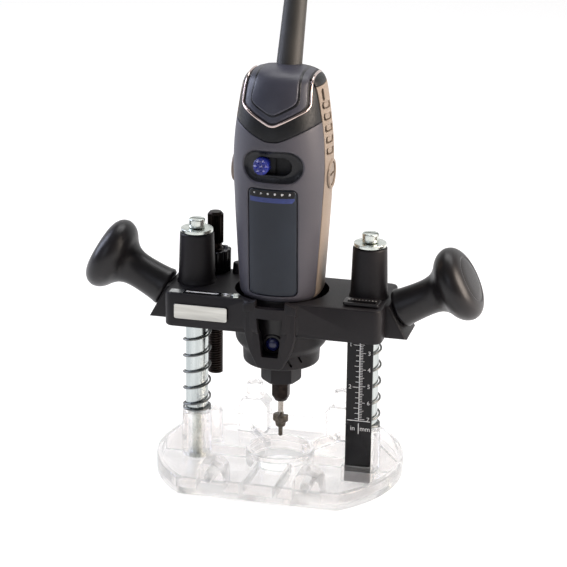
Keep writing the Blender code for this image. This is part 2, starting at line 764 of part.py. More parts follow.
def stop_screw(side, word):
    """Slotted screw that holds the stop washer on top of a column."""
    x, seat = side * COLUMN_X, COLUMN_TOP + GAP + WASHER + GAP
    top, crown = seat + STOP_HEAD, 1.0 * MM
    profile = [
        (0.0, top),
        (STOP_HEAD_RADIUS - crown, top),
        (STOP_HEAD_RADIUS, top - crown),
        (STOP_HEAD_RADIUS, seat),
        (STOP_SCREW_RADIUS, seat),
        (STOP_SCREW_RADIUS, COLUMN_TOP - STOP_GRIP),
        (0.0, COLUMN_TOP - STOP_GRIP),
    ]
    screw = turned(f"{word}_stop_screw", profile, "zinc_plate", 14, (x, 0, 0))
    half = DRIVER_SLOT / 2
    low = (x - STOP_HEAD_RADIUS - PAST, -half, top - STOP_HEAD / 3)
    slot = box(f"stop_slot_{word}", low, (x + STOP_HEAD_RADIUS + PAST, half, top + PAST))
    cut(screw, slot)


def plunge_spring(side, word):
    """Coil from the boss to the carriage, with close turns at both ends."""
    radius = (COLUMN_RADIUS + GAP + SPRING_WIRE / 2) / math.cos(math.pi / POINTS_PER_CURL)
    low = BOSS_TOP + GAP + SPRING_WIRE / 2
    high = ARM_BOTTOM - GAP - SPRING_WIRE / 2
    ends = 2 * SPRING_END_TURNS * SPRING_END_PITCH
    open_turns = round((high - low - ends) / SPRING_PITCH, 1)
    open_pitch = (high - low - ends) / open_turns
    turns = 2 * SPRING_END_TURNS + open_turns
    count = round(turns * POINTS_PER_CURL)
    centres = []
    for i in range(count + 1):
        turn = turns * i / count
        closed = min(turn, SPRING_END_TURNS) + max(0.0, turn - turns + SPRING_END_TURNS)
        centres.append((turn, low + closed * SPRING_END_PITCH + (turn - closed) * open_pitch))
    shift = Matrix.Translation((side * COLUMN_X, 0, 0))
    coil(f"{word}_plunge_spring", "spring_steel", radius, SPRING_WIRE, centres, matrix=shift)


def depth_scale():
    low = (SCALE_X - SCALE_WIDTH / 2, SCALE_Y - SCALE / 2, FLOOR + GAP)
    high = (SCALE_X + SCALE_WIDTH / 2, SCALE_Y + SCALE / 2, SCALE_TOP)
    box("depth_scale", low, high, "black_gloss")


# Carriage

def handle_axis(side):
    """Direction out along a handle, the middle of its knob and where its neck meets the lug."""
    along = Vector((side * math.cos(HANDLE_RISE), 0.0, math.sin(HANDLE_RISE)))
    knob = Vector((side * KNOB_X, 0.0, KNOB_Z))
    corner = Vector((side * LUG_REACH, 0.0, ARM_BOTTOM))
    foot = knob - along * along.dot(knob - corner)
    return along, knob, foot


def handle_lug(side):
    """Wedge at the end of an arm whose sloped face carries a handle."""
    along, _, _ = handle_axis(side)
    slope = Vector((-along.z * side, 0.0, abs(along.x)))
    corner = Vector((side * LUG_REACH, 0.0, ARM_BOTTOM))
    peak = corner + slope * (ARM_TOP - SUNK / 2 - ARM_BOTTOM) / slope.z
    inner = side * (ARM_HALF_LENGTH - ARM_CORNER)
    outline = [
        (inner, ARM_BOTTOM + SUNK / 2),
        (corner.x + slope.x / slope.z * SUNK / 2, ARM_BOTTOM + SUNK / 2),
        (peak.x, peak.z),
        (inner, peak.z),
    ]
    deep = LUG_HALF_DEPTH
    return prism(f"lug_{side}", outline, -deep, deep, axis="Y")


def stud_span(side):
    """Where a handle's stud starts in the arm and ends in the handle."""
    along, _, foot = handle_axis(side)
    bush_outside = COLUMN_RADIUS + GAP + BUSH_WALL + 2 * GAP
    slant = STUD_RADIUS * along.z
    inside = (abs(foot.x) - COLUMN_X - bush_outside - slant) / abs(along.x)
    return foot - along * inside, foot + along * STUD_GRIP


def sleeve(side):
    x = side * COLUMN_X
    start, end = (x, 0, ARM_TOP - SUNK), (x, 0, SLEEVE_TOP)
    return rod(f"sleeve_{side}", SLEEVE_BASE_RADIUS, start, end, sides=20, end_radius=SLEEVE_TIP_RADIUS)


def sleeve_bores(side):
    """Running bore for the column with the wider bore above it for the bush."""
    x = side * COLUMN_X
    lip = ARM_BOTTOM + SPRING_LIP
    running = COLUMN_RADIUS + 1.5 * GAP
    low = rod(f"column_way_{side}", running, (x, 0, ARM_BOTTOM - PAST), (x, 0, lip + SUNK), sides=20)
    wide = COLUMN_RADIUS + GAP + BUSH_WALL + GAP
    high = rod(f"bush_seat_{side}", wide, (x, 0, lip), (x, 0, SLEEVE_TOP + PAST), sides=20)
    start, end = stud_span(side)
    along = (end - start).normalized()
    stud = rod(f"stud_way_{side}", STUD_RADIUS + GAP, start - along * PAST, end, sides=12)
    return low, high, stud


def collar_form(name, finish):
    """Arms and round collar in one, before the bores."""
    frame = box(
        name,
        (-ARM_HALF_LENGTH, -ARM_HALF_DEPTH, ARM_BOTTOM),
        (ARM_HALF_LENGTH, ARM_HALF_DEPTH, ARM_TOP),
        finish,
        bevel=ARM_CORNER,
        edges="upright",
        segments=4,
    )
    fillet = 3.0 * MM
    profile = [
        (0.0, ARM_TOP - SUNK),
        (COLLAR_RADIUS, ARM_TOP - SUNK),
        (COLLAR_RADIUS, ARM_BOTTOM + fillet),
        (COLLAR_WAIST_RADIUS, ARM_BOTTOM - fillet),
        (COLLAR_WAIST_RADIUS, COLLAR_SHOULDER_Z),
        (COLLAR_WAIST_RADIUS - fillet / 2, COLLAR_SHOULDER_Z - fillet / 2),
        (COLLAR_CUP_RADIUS + fillet / 2, COLLAR_SHOULDER_Z - fillet),
        (COLLAR_CUP_RADIUS, COLLAR_SHOULDER_Z - 1.6 * fillet),
        (COLLAR_CUP_RADIUS - fillet / 4, COLLAR_BOTTOM + fillet / 3),
        (COLLAR_CUP_RADIUS - fillet / 2, COLLAR_BOTTOM),
        (0.0, COLLAR_BOTTOM),
    ]
    return join(frame, turned("collar", profile, steps=30))


def collar_bore():
    """Stepped hollow that takes the tool's nose, down to the floor its thread goes through."""
    floor = COLLAR_BOTTOM + COLLAR_FLOOR
    cup = COLLAR_CUP_RADIUS - COLLAR_WALL
    waist = COLLAR_WAIST_RADIUS - COLLAR_WALL
    hole = NOSE_THREAD_RADIUS + GAP
    profile = [
        (0.0, ARM_TOP + PAST),
        (MOUTH_RADIUS, ARM_TOP + PAST),
        (MOUTH_RADIUS, ARM_BOTTOM + COLLAR_WALL),
        (waist, ARM_BOTTOM),
        (waist, COLLAR_SHOULDER_Z + COLLAR_WALL / 2),
        (cup, COLLAR_SHOULDER_Z - COLLAR_WALL / 2),
        (cup, floor),
        (hole, floor),
        (hole, COLLAR_BOTTOM - PAST),
        (0.0, COLLAR_BOTTOM - PAST),
    ]
    return turned("collar_bore", profile, steps=26)


def collar_shield():
    """Raised shield round the window on the collar's front."""
    top, bottom = WINDOW_TOP + 5.0 * MM, WINDOW_BOTTOM - 4.0 * MM
    wide, narrow = WINDOW_TOP_WIDTH / 2 + 6.5 * MM, WINDOW_BOTTOM_WIDTH / 2 + 3.5 * MM
    outline = [(-wide, top), (-wide, ARM_BOTTOM), (-narrow, bottom)]
    outline += [(-x, z) for x, z in reversed(outline)]
    front = -COLLAR_WAIST_RADIUS - SHIELD_PROUD
    return prism("collar_shield", outline, front, -COLLAR_CUP_RADIUS + PAST, axis="Y")


def carriage_frame():
    frame = collar_form("carriage_frame", "black_nylon")
    boss_low = (STOP_X, STOP_Y, ARM_BOTTOM + SUNK)
    boss_high = (STOP_X, STOP_Y, ARM_TOP - SUNK)
    join(frame, collar_shield(), rod("stop_boss", STOP_BOSS_RADIUS, boss_low, boss_high, sides=16))
    for side in (-1, 1):
        join(frame, handle_lug(side), sleeve(side))
    wide, narrow = WINDOW_TOP_WIDTH / 2, WINDOW_BOTTOM_WIDTH / 2
    trapezoid = [(-narrow, WINDOW_BOTTOM), (narrow, WINDOW_BOTTOM), (wide, WINDOW_TOP), (-wide, WINDOW_TOP)]
    front = -COLLAR_RADIUS - PAST
    window = prism("collar_window", trapezoid, front, -NOSE_RADIUS, axis="Y")
    half = NOTCH_WIDTH / 2
    notch = box("collar_notch", (-half, front, ARM_TOP - NOTCH_DEPTH), (half, -PAST, ARM_TOP + PAST))
    width, deep = SCALE_WIDTH / 2 + 2 * GAP, SCALE / 2 + 2 * GAP
    scale_way = box(
        "scale_way",
        (SCALE_X - width, SCALE_Y - deep, ARM_BOTTOM - PAST),
        (SCALE_X + width, SCALE_Y + deep, ARM_TOP + PAST),
    )
    stop_way = rod(
        "stop_way",
        STOP_ROD_RADIUS + GAP,
        (STOP_X, STOP_Y, ARM_BOTTOM - PAST),
        (STOP_X, STOP_Y, ARM_TOP + PAST),
        sides=14,
    )
    cut(frame, collar_bore(), window, notch, scale_way, stop_way)
    for side in (-1, 1):
        cut(frame, *sleeve_bores(side))


def guide_bush(side, word):
    low, high = ARM_BOTTOM + SPRING_LIP + GAP, SLEEVE_TOP - SUNK
    inner, outer = COLUMN_RADIUS + GAP, COLUMN_RADIUS + GAP + BUSH_WALL
    profile = [(outer, high), (outer, low), (inner, low), (inner, high)]
    turned(f"{word}_guide_bush", profile, "bronze", 20, (side * COLUMN_X, 0, 0))


def clamp_nut():
    """Hexagon nut on the tool's nose thread that draws the tool down into the collar."""
    top = COLLAR_BOTTOM - GAP
    nut = hexagon("clamp_nut", CLAMP_NUT_ACROSS, top - CLAMP_NUT, top, "black_nylon", turn=13.7)
    span = [(0, 0, top - CLAMP_NUT - PAST), (0, 0, top + PAST)]
    cut(nut, rod("clamp_thread", NOSE_THREAD_RADIUS + GAP, *span, sides=20))
    corner = CLAMP_NUT_ACROSS / math.sqrt(3)
    chamfer = [
        (0.0, top + PAST),
        (corner + SUNK, top + PAST),
        (corner + SUNK, top - CLAMP_NUT + 2.0 * MM),
        (corner - SUNK, top - CLAMP_NUT - SUNK),
        (0.0, top - CLAMP_NUT - SUNK),
    ]
    keep(nut, turned("clamp_chamfer", chamfer, steps=26))


def badge_plate():
    """Bare plate on the front of the left arm."""
    front = -ARM_HALF_DEPTH - GAP
    outline = rounded((BADGE_X, BADGE_Z), BADGE_WIDTH, BADGE_HEIGHT, 1.2 * MM, 3)
    prism("badge_plate", outline, front - BADGE, front, "silver_plate", axis="Y")


def scale_pointer():
    """Raised frame on the right arm whose edge reads the depth scale."""
    y = SCALE_Y + 2.0 * MM
    half, deep = POINTER_WIDTH / 2, POINTER_DEPTH / 2
    low, high = ARM_TOP + GAP, ARM_TOP + GAP + POINTER
    frame = box(
        "scale_pointer",
        (SCALE_X - half, y - deep, low),
        (SCALE_X + half, y + deep, high),
        "black_nylon",
        bevel=0.8 * MM,
        edges="top",
        segments=1,
    )
    width, slot = SCALE_WIDTH / 2 + 2 * GAP, SCALE / 2 + 2 * GAP
    cut(
        frame,
        box(
            "pointer_slot",
            (SCALE_X - width, SCALE_Y - slot, low - PAST),
            (SCALE_X + width, SCALE_Y + slot, high + PAST),
        ),
    )


def handle(side, name):
    """Mushroom knob on a flared neck, bored for its stud, turned about its own axis."""
    along, knob, foot = handle_axis(side)
    length = (knob - foot).length
    half, rim = KNOB_THICKNESS / 2, KNOB_RADIUS
    top = length + half
    profile = [
        (0.0, top),
        (rim * 0.45, top - 0.04 * half),
        (rim * 0.74, top - 0.22 * half),
        (rim * 0.92, top - 0.55 * half),
        (rim, length + 0.05 * half),
        (rim * 0.95, length - 0.42 * half),
        (rim * 0.82, length - 0.78 * half),
        (rim * 0.66, length - 1.05 * half),
        (NECK_RADIUS * 1.12, length - 1.4 * half),
        (NECK_RADIUS, length - 1.95 * half),
        (NECK_RADIUS * 1.02, 5.0 * MM),
        (NECK_RADIUS * 1.1, GAP + 1.5 * MM),
        (NECK_RADIUS, GAP),
        (0.0, GAP),
    ]
    tilt = (0.0, side * (math.pi / 2 - HANDLE_RISE), 0.0)
    grip = turned(name, profile, "black_nylon", 22, foot, tilt)
    bore_end = foot + along * (STUD_GRIP + GAP)
    cut(grip, rod(f"{name}_bore", STUD_RADIUS + GAP, foot - along * PAST, bore_end, sides=12))


def stud(side, name):
    start, end = stud_span(side)
    rod(name, STUD_RADIUS, start, end, "zinc_plate", sides=12)


def depth_stop():
    """Threaded stop rod with a knurled head, and the ribbed nut that moves it."""
    seat = ARM_TOP + GAP
    head = STOP_ROD_TOP - STOP_HEAD_LENGTH
    chamfer = 0.8 * MM
    profile = [
        (0.0, STOP_ROD_TOP),
        (STOP_ROD_RADIUS - chamfer, STOP_ROD_TOP),
        (STOP_ROD_RADIUS, STOP_ROD_TOP - chamfer),
        (STOP_ROD_RADIUS, head),
        (STOP_ROD_RADIUS - chamfer, head - chamfer),
        (STOP_ROD_RADIUS - chamfer, seat + STOP_NUT + GAP + chamfer),
        (STOP_ROD_RADIUS, seat + STOP_NUT + GAP),
        (STOP_ROD_RADIUS, STOP_ROD_BOTTOM + chamfer),
        (STOP_ROD_RADIUS - chamfer, STOP_ROD_BOTTOM),
        (0.0, STOP_ROD_BOTTOM),
    ]
    turned("depth_stop_rod", profile, "dark_steel", 14, (STOP_X, STOP_Y, 0))
    points = 2 * STOP_NUT_RIBS
    outline = []
    for i in range(points):
        angle = 2 * math.pi * i / points
        radius = STOP_NUT_RADIUS - (RIB_DEPTH if i % 2 else 0.0)
        outline.append((STOP_X + radius * math.cos(angle), STOP_Y + radius * math.sin(angle)))
    nut = prism("depth_stop_nut", outline, seat, seat + STOP_NUT, "black_gloss")
    span = [(STOP_X, STOP_Y, seat - PAST), (STOP_X, STOP_Y, seat + STOP_NUT + PAST)]
    cut(nut, rod("stop_nut_bore", STOP_ROD_RADIUS + GAP, *span, sides=14))


# Tool housing

def shield_outline(grow):
    """Pentagon of the shield cap with a round tip, grown outwards."""
    bend, top = SHIELD_HALF_WIDTH + grow, SHIELD_TOP_HALF_WIDTH + grow
    drop = (SHIELD_BEND_Z - SHIELD_TIP_Z) / SHIELD_HALF_WIDTH
    lower = grow * (math.sqrt(1 + drop * drop) - drop)
    bend_z = SHIELD_BEND_Z - lower
    tip_z = bend_z - drop * bend
    round_x = SHIELD_TIP_ROUND + grow / 4
    round_z = tip_z + drop * round_x
    roof = BODY_STATIONS[-1][0] + PAST
    half = [(top, roof), (bend, bend_z), (round_x, round_z), (round_x / 2, (tip_z + 2 * round_z) / 3)]
    return [*half, *[(-x, z) for x, z in reversed(half)]]


def band_outline():
    """Everything above the dark band's lower edge, which dips to a round tip."""
    roof = BODY_STATIONS[-1][0] + PAST
    far = BODY_STATIONS[5][1] + PAST
    drop = (BAND_END_Z - BAND_TIP_Z) / BAND_END_X
    start = 0.3 * BAND_END_X
    half = [(far, roof), (far, BAND_TIP_Z + drop * far), (start, BAND_TIP_Z + drop * start)]
    half.append((start / 2, BAND_TIP_Z + drop * start / 3))
    return [*half, *[(-x, z) for x, z in reversed(half)]]


def grown(outline, gap):
    """An outline for the piece below, held clear of the piece above by the gap."""
    return [(x * (1 + gap / BAND_END_X), z - gap) for x, z in outline]


def front_room(name, low, high, edge):
    """Block in front of a plane across the body, for keeping or cutting a piece."""
    wide = BODY_STATIONS[5][1] + PAST
    return box(name, (-wide, -wide - PAST, low), (wide, edge, high))


FRONT_Y = -BODY_STATIONS[6][2] - PAST
SEAM_FRONT = SEAM_Y - GAP / 2
SEAM_REAR = SEAM_Y + GAP / 2


def hollow_body(name, finish, outset=0.0, wall=BODY_WALL):
    """The body's shell, open at the bottom."""
    shell = body_loft(name, -outset, finish)
    smooth(shell)
    bottom = BODY_STATIONS[0][0] - PAST
    return cut(shell, body_loft(f"{name}_hollow", wall, low=bottom, sides=BODY_SIDES - 4))


def front_piece(name, finish, keep_outline, cut_outline, outset=0.0, wall=BODY_WALL):
    """Part of the front shell inside one outline and outside another, seen from the front."""
    shell = hollow_body(name, finish, outset, wall)
    room = prism(f"{name}_room", keep_outline, FRONT_Y, SEAM_FRONT, axis="Y")
    if cut_outline:
        cut(room, prism(f"{name}_cut", cut_outline, FRONT_Y - PAST, SEAM_FRONT + PAST, axis="Y"))
    return keep(shell, room)


def end_cap():
    cap = front_piece("end_cap", "slate_grip", shield_outline(0.0), None)
    inset = shield_outline(EMBLEM_HALF_WIDTH - SHIELD_HALF_WIDTH)
    groove = prism("emblem_edge", inset, FRONT_Y - PAST, SEAM_FRONT, axis="Y")
    emblem = prism("emblem_field", shield_outline(EMBLEM_HALF_WIDTH - SHIELD_HALF_WIDTH - 1.2 * MM),
                   FRONT_Y - 2 * PAST, SEAM_FRONT + PAST, axis="Y")
    cut(groove, emblem, body_loft("emblem_depth", EMBLEM_RECESS))
    cut(cap, groove)


def trim_strip():
    outline, inner = shield_outline(GAP + TRIM_WIDTH), shield_outline(GAP)
    front_piece("trim_strip", "bright_chrome", outline, inner, TRIM_PROUD, BODY_WALL - 1.0 * MM)


def end_band():
    front_piece("end_band", "black_gloss", band_outline(), shield_outline(2 * GAP + TRIM_WIDTH))


def screw_boss(name, side, z, start, end):
    x = side * SCREW_X
    return rod(name, SCREW_BOSS_RADIUS, (x, start, z), (x, end, z), sides=12)


def screw_tip(z):
    return body_front(z, SCREW_X + SCREW_BOSS_RADIUS, BODY_WALL) + GAP


def front_bosses():
    for side in (-1, 1):
        for z in SCREW_HEIGHTS:
            end = body_front(z, SCREW_X, BODY_WALL / 2)
            yield screw_boss(f"front_boss_{side}_{z / MM:.0f}", side, z, SEAM_FRONT - GAP, end)


def pilot_holes():
    """Blind holes in the front shell's bosses for the screws."""
    for side in (-1, 1):
        for z in SCREW_HEIGHTS:
            x, tip = side * SCREW_X, screw_tip(z) - GAP
            start = (x, SEAM_Y + PAST, z)
            yield rod(f"pilot_{side}_{z / MM:.0f}", SCREW_RADIUS + GAP, start, (x, tip, z), sides=12)


def front_housing():
    """Front shell with the panel's pocket, the switch recess and its slot, and screw bosses."""
    roof = BODY_STATIONS[-1][0] + 2 * PAST
    wide, bottom = BODY_STATIONS[5][1] + PAST, BODY_STATIONS[0][0] - PAST
    room = [(-wide, bottom), (wide, bottom), (wide, roof), (-wide, roof)]
    shell = front_piece("front_housing", "slate_grip", room, grown(band_outline(), GAP))
    pocket = panel_form("panel_pocket", None, GAP)
    recess = prism("switch_recess", stadium((0, SWITCH_Z), RECESS_LENGTH, RECESS_HEIGHT),
                   FRONT_Y - PAST, SEAM_FRONT, axis="Y")
    cut(recess, body_loft("recess_depth", RECESS_DEPTH))
    slot = prism("switch_slot", rounded((0, SWITCH_Z), SLOT_LENGTH, SLOT_HEIGHT, SLIDER_CORNER + GAP),
                 FRONT_Y - PAST, SEAM_FRONT, axis="Y")
    join(shell, together("front_bosses", *front_bosses()))
    cut(shell, pocket, recess, slot, together("pilot_holes", *pilot_holes()))


def panel_form(name, finish, spare):
    """The inset panel's skin: a rounded upright outline as deep as the panel, with spare round it."""
    width, height = PANEL_WIDTH + 2 * spare, PANEL_TOP - PANEL_BOTTOM + 2 * spare
    middle = (0.0, (PANEL_TOP + PANEL_BOTTOM) / 2)
    outline = rounded(middle, width, height, PANEL_CORNER + spare)
    form = prism(name, outline, FRONT_Y - PAST, SEAM_FRONT, finish, axis="Y")
    if not spare:
        keep(form, body_loft(f"{name}_face", 0.15 * MM))
    return cut(form, body_loft(f"{name}_back", PANEL + spare))


def front_panel():
    panel_form("front_panel", "panel_slate", 0.0)


def switch_slider():
    """Blue thumb slide with a hidden plate that keeps it in its slot."""
    x = -SWITCH_TRAVEL / 2
    width, height = SLOT_LENGTH - SWITCH_TRAVEL - 2 * GAP, SLOT_HEIGHT - 2 * GAP
    reach = x - SLIDER_PLATE_WIDTH / 2
    high = SLIDER_PLATE_HEIGHT / 2
    plate_front = max(body_front(SWITCH_Z + end, reach, BODY_WALL) for end in (-high, high)) + 1.5 * GAP
    face = body_front(SWITCH_Z, 0.0, RECESS_DEPTH) - 0.9 * MM
    knob = prism("switch_slider", rounded((x, SWITCH_Z), width, height, SLIDER_CORNER),
                 face, plate_front + SLIDER_PLATE / 2, "blue_button", axis="Y")
    half = SLIDER_PLATE_WIDTH / 2
    plate = box("slider_plate", (x - half, plate_front, SWITCH_Z - high),
                (x + half, plate_front + SLIDER_PLATE, SWITCH_Z + high))
    join(knob, plate)
    return plate_front + SLIDER_PLATE


def switch_module(front):
    """Switch behind the slide, with ears that reach the front wall above and below it."""
    high, ear = SLIDER_PLATE_HEIGHT / 2 + GAP, 4.0 * MM
    back = SEAM_Y - SUNK
    block = box("switch_module", (-9.0 * MM, front + GAP, SWITCH_Z - high - ear),
                (9.0 * MM, back, SWITCH_Z + high + ear), "ivory_plastic")
    for word, low in (("upper", SWITCH_Z + high), ("lower", SWITCH_Z - high - ear)):
        wall = body_front(low, ear, BODY_WALL) + 2 * GAP
        join(block, box(f"{word}_ear", (-ear, wall, low + GAP), (ear, back - SUNK, low + ear - GAP)))


def circuit_board():
    half, low, high = 9.0 * MM, 126.0 * MM, 164.0 * MM
    front = body_front(low, half, BODY_WALL) + GAP
    box("circuit_board", (-half, front, low), (half, front + 1.6 * MM, high), "circuit_green")


def bearing_seat():
    """Ring for the upper bearing, with webs that run out into the rear shell."""
    top = UPPER_BEARING_Z + BEARING
    inner = UPPER_BEARING_RADIUS + GAP
    ring = rod("bearing_ring", inner + 2.0 * MM, (0, 0, UPPER_BEARING_Z - SUNK), (0, 0, top), sides=16)
    reach = inner + SUNK
    low, high = UPPER_BEARING_Z, top - SUNK
    rear = body_rear(UPPER_BEARING_Z, 0.0, BODY_WALL / 2)
    side = body_x(UPPER_BEARING_Z, BODY_WALL / 2)
    back_web = box("bearing_web", (-RIB / 2, reach, low), (RIB / 2, rear, high))
    left_web = box("bearing_web_left", (-side, -RIB / 2, low), (-reach, RIB / 2, high))
    right_web = box("bearing_web_right", (reach, -RIB / 2, low), (side, RIB / 2, high))
    join(ring, together("bearing_webs", back_web, left_web, right_web))
    bore = rod("bearing_bore", inner, (0, 0, UPPER_BEARING_Z - GAP), (0, 0, top + PAST), sides=16)
    way = rod("shaft_way", SHAFT_RADIUS + SUNK, (0, 0, UPPER_BEARING_Z - PAST), (0, 0, top), sides=14)
    return cut(ring, bore, way)


def rear_fittings():
    """Rails for the motor, rings round the brush caps and bosses for the screws."""
    for side in (-1, 1):
        ends = sorted((side * (FIELD_RADIUS + GAP), side * body_x(CORE_BOTTOM, BODY_WALL / 6)))
        yield box(f"motor_rail_{side}", (ends[0], -RIB, CORE_BOTTOM - SUNK), (ends[1], RIB, CORE_TOP))
        wall = body_x(BRUSH_Z)
        start = (side * (wall - BODY_WALL / 2), 0, BRUSH_Z)
        end = (side * (wall + BRUSH_RING_PROUD), 0, BRUSH_Z)
        yield rod(f"brush_ring_{side}", BRUSH_RING_RADIUS, start, end)
        for z in SCREW_HEIGHTS:
            end = body_rear(z, SCREW_X, BODY_WALL / 2)
            yield screw_boss(f"rear_boss_{side}_{z / MM:.0f}", side, z, SEAM_REAR + GAP, end)


def screw_ways(radius, start, end):
    """Round holes along every housing screw."""
    for side in (-1, 1):
        for z in SCREW_HEIGHTS:
            x = side * SCREW_X
            yield rod(f"screw_way_{side}_{z / MM:.0f}", radius, (x, start, z), (x, end, z), sides=12)


def side_openings():
    """Brush cap holes and cooling vents through both sides."""
    out = BODY_STATIONS[5][1] + PAST
    for side in (-1, 1):
        start = (side * (body_x(BRUSH_Z, BODY_WALL) - PAST), 0, BRUSH_Z)
        yield rod(f"brush_hole_{side}", BRUSH_CAP_RADIUS + GAP, start, (side * out, 0, BRUSH_Z))
        ends = sorted((side * (SCREW_X + SCREW_BOSS_RADIUS + SUNK), side * out))
        for i in range(VENT_COUNT):
            low = VENT_BOTTOM_Z + i * VENT_PITCH
            corner = (ends[1], VENT_REAR_Y, low + VENT_HEIGHT)
            yield box(f"vent_{side}_{i}", (ends[0], VENT_FRONT_Y, low), corner)


def rear_housing():
    """Rear shell with vents, brush rings, screw bosses, motor rails and the upper bearing's seat."""
    shell = hollow_body("rear_housing", "warm_grey_shell")
    wide = BODY_STATIONS[5][1] + PAST
    roof, bottom = BODY_STATIONS[-1][0] + PAST, BODY_STATIONS[0][0] - PAST
    rear = BODY_STATIONS[5][3] + PAST
    keep(shell, box("rear_room", (-wide, SEAM_REAR, bottom), (wide, rear, roof)))
    join(shell, bearing_seat(), together("rear_fittings", *rear_fittings()))
    openings = together("rear_openings", relief_hole(), *side_openings())
    ways = screw_ways(SCREW_RADIUS + GAP, SEAM_Y - PAST, SCREW_SEAT_Y + SUNK)
    sinks = screw_ways(SCREW_HEAD_RADIUS + GAP, SCREW_SEAT_Y, rear)
    cut(shell, openings, together("rear_screw_ways", *ways), together("rear_screw_sinks", *sinks))


def housing_screw(side, word, z, level):
    """Screw from the rear shell into the front shell's boss."""
    seat = SCREW_SEAT_Y + GAP
    tip = screw_tip(z)
    profile = [
        (0.0, seat + SCREW_HEAD),
        (SCREW_HEAD_RADIUS, seat + SCREW_HEAD),
        (SCREW_HEAD_RADIUS, seat),
        (SCREW_RADIUS, seat),
        (SCREW_RADIUS, tip),
        (0.0, tip),
    ]
    at = (side * SCREW_X, 0, z)
    turned(f"{word}_{level}_housing_screw", profile, "dark_steel", 10, at, (-math.pi / 2, 0, 0))


def relief_frame():
    """Foot and direction of the strain relief, which leans to the rear."""
    along = Vector((0.0, math.sin(RELIEF_TILT), math.cos(RELIEF_TILT)))
    return Vector((0.0, RELIEF_Y, RELIEF_Z)), along


def relief_hole():
    foot, along = relief_frame()
    start, end = foot - along * 2 * PAST, foot + along * 4 * PAST
    return rod("relief_hole", RELIEF_BASE_RADIUS + GAP, start, end, sides=16)


def strain_relief():
    """Tapered rubber sleeve with a hidden flange and an open bore."""
    foot, _ = relief_frame()
    lip, flange_top = 1.2 * MM, -3.4 * MM
    flange_low = flange_top - 2.2 * MM
    profile = [
        (RELIEF_TIP_RADIUS, RELIEF_LENGTH),
        (RELIEF_TIP_RADIUS + lip / 3, RELIEF_LENGTH - lip),
        (RELIEF_TIP_RADIUS, RELIEF_LENGTH - 2 * lip),
        (RELIEF_BASE_RADIUS, 2 * lip),
        (RELIEF_BASE_RADIUS, flange_top),
        (RELIEF_FLANGE_RADIUS, flange_top),
        (RELIEF_FLANGE_RADIUS, flange_low),
        (RELIEF_BORE, flange_low),
        (RELIEF_BORE, RELIEF_LENGTH),
    ]
    turned("strain_relief", profile, "dark_rubber", 16, foot, (-RELIEF_TILT, 0, 0))


# Brushes

def brush_set(side, word):
    """Carbon brush in its holder behind a slotted cap in the rear shell's side."""
    wall = body_x(BRUSH_Z, BODY_WALL)
    cap_in, cap_out = wall + GAP, body_x(BRUSH_Z) + BRUSH_RING_PROUD - 0.6 * MM
    cap = rod(f"{word}_brush_cap", BRUSH_CAP_RADIUS, (side * cap_in, 0, BRUSH_Z),
              (side * cap_out, 0, BRUSH_Z), "black_nylon", sides=16)
    slot = sorted((side * (cap_out - 1.2 * MM), side * (cap_out + PAST)))
    cut(cap, box(f"cap_slot_{word}", (slot[0], -2 * BRUSH_CAP_RADIUS, BRUSH_Z - DRIVER_SLOT / 2),
                 (slot[1], 2 * BRUSH_CAP_RADIUS, BRUSH_Z + DRIVER_SLOT / 2)))
    tip = COMMUTATOR_RADIUS + GAP
    ends = sorted((side * tip, side * (tip + BRUSH_LENGTH)))
    wide, high = BRUSH_WIDTH / 2, BRUSH_HEIGHT / 2
    box(f"{word}_brush", (ends[0], -wide, BRUSH_Z - high), (ends[1], wide, BRUSH_Z + high), "carbon")
    ends = sorted((side * (tip + 2.0 * MM), side * (wall - GAP)))
    wide, high = wide + GAP, high + GAP
    holder = box(
        f"{word}_brush_holder",
        (ends[0], -wide - HOLDER_WALL, BRUSH_Z - high - HOLDER_WALL),
        (ends[1], wide + HOLDER_WALL, BRUSH_Z + high + HOLDER_WALL),
        "ivory_plastic",
    )
    cut(holder, box(f"brush_way_{word}", (ends[0] - PAST, -wide, BRUSH_Z - high),
                    (ends[1] + PAST, wide, BRUSH_Z + high)))


# Nose and spindle

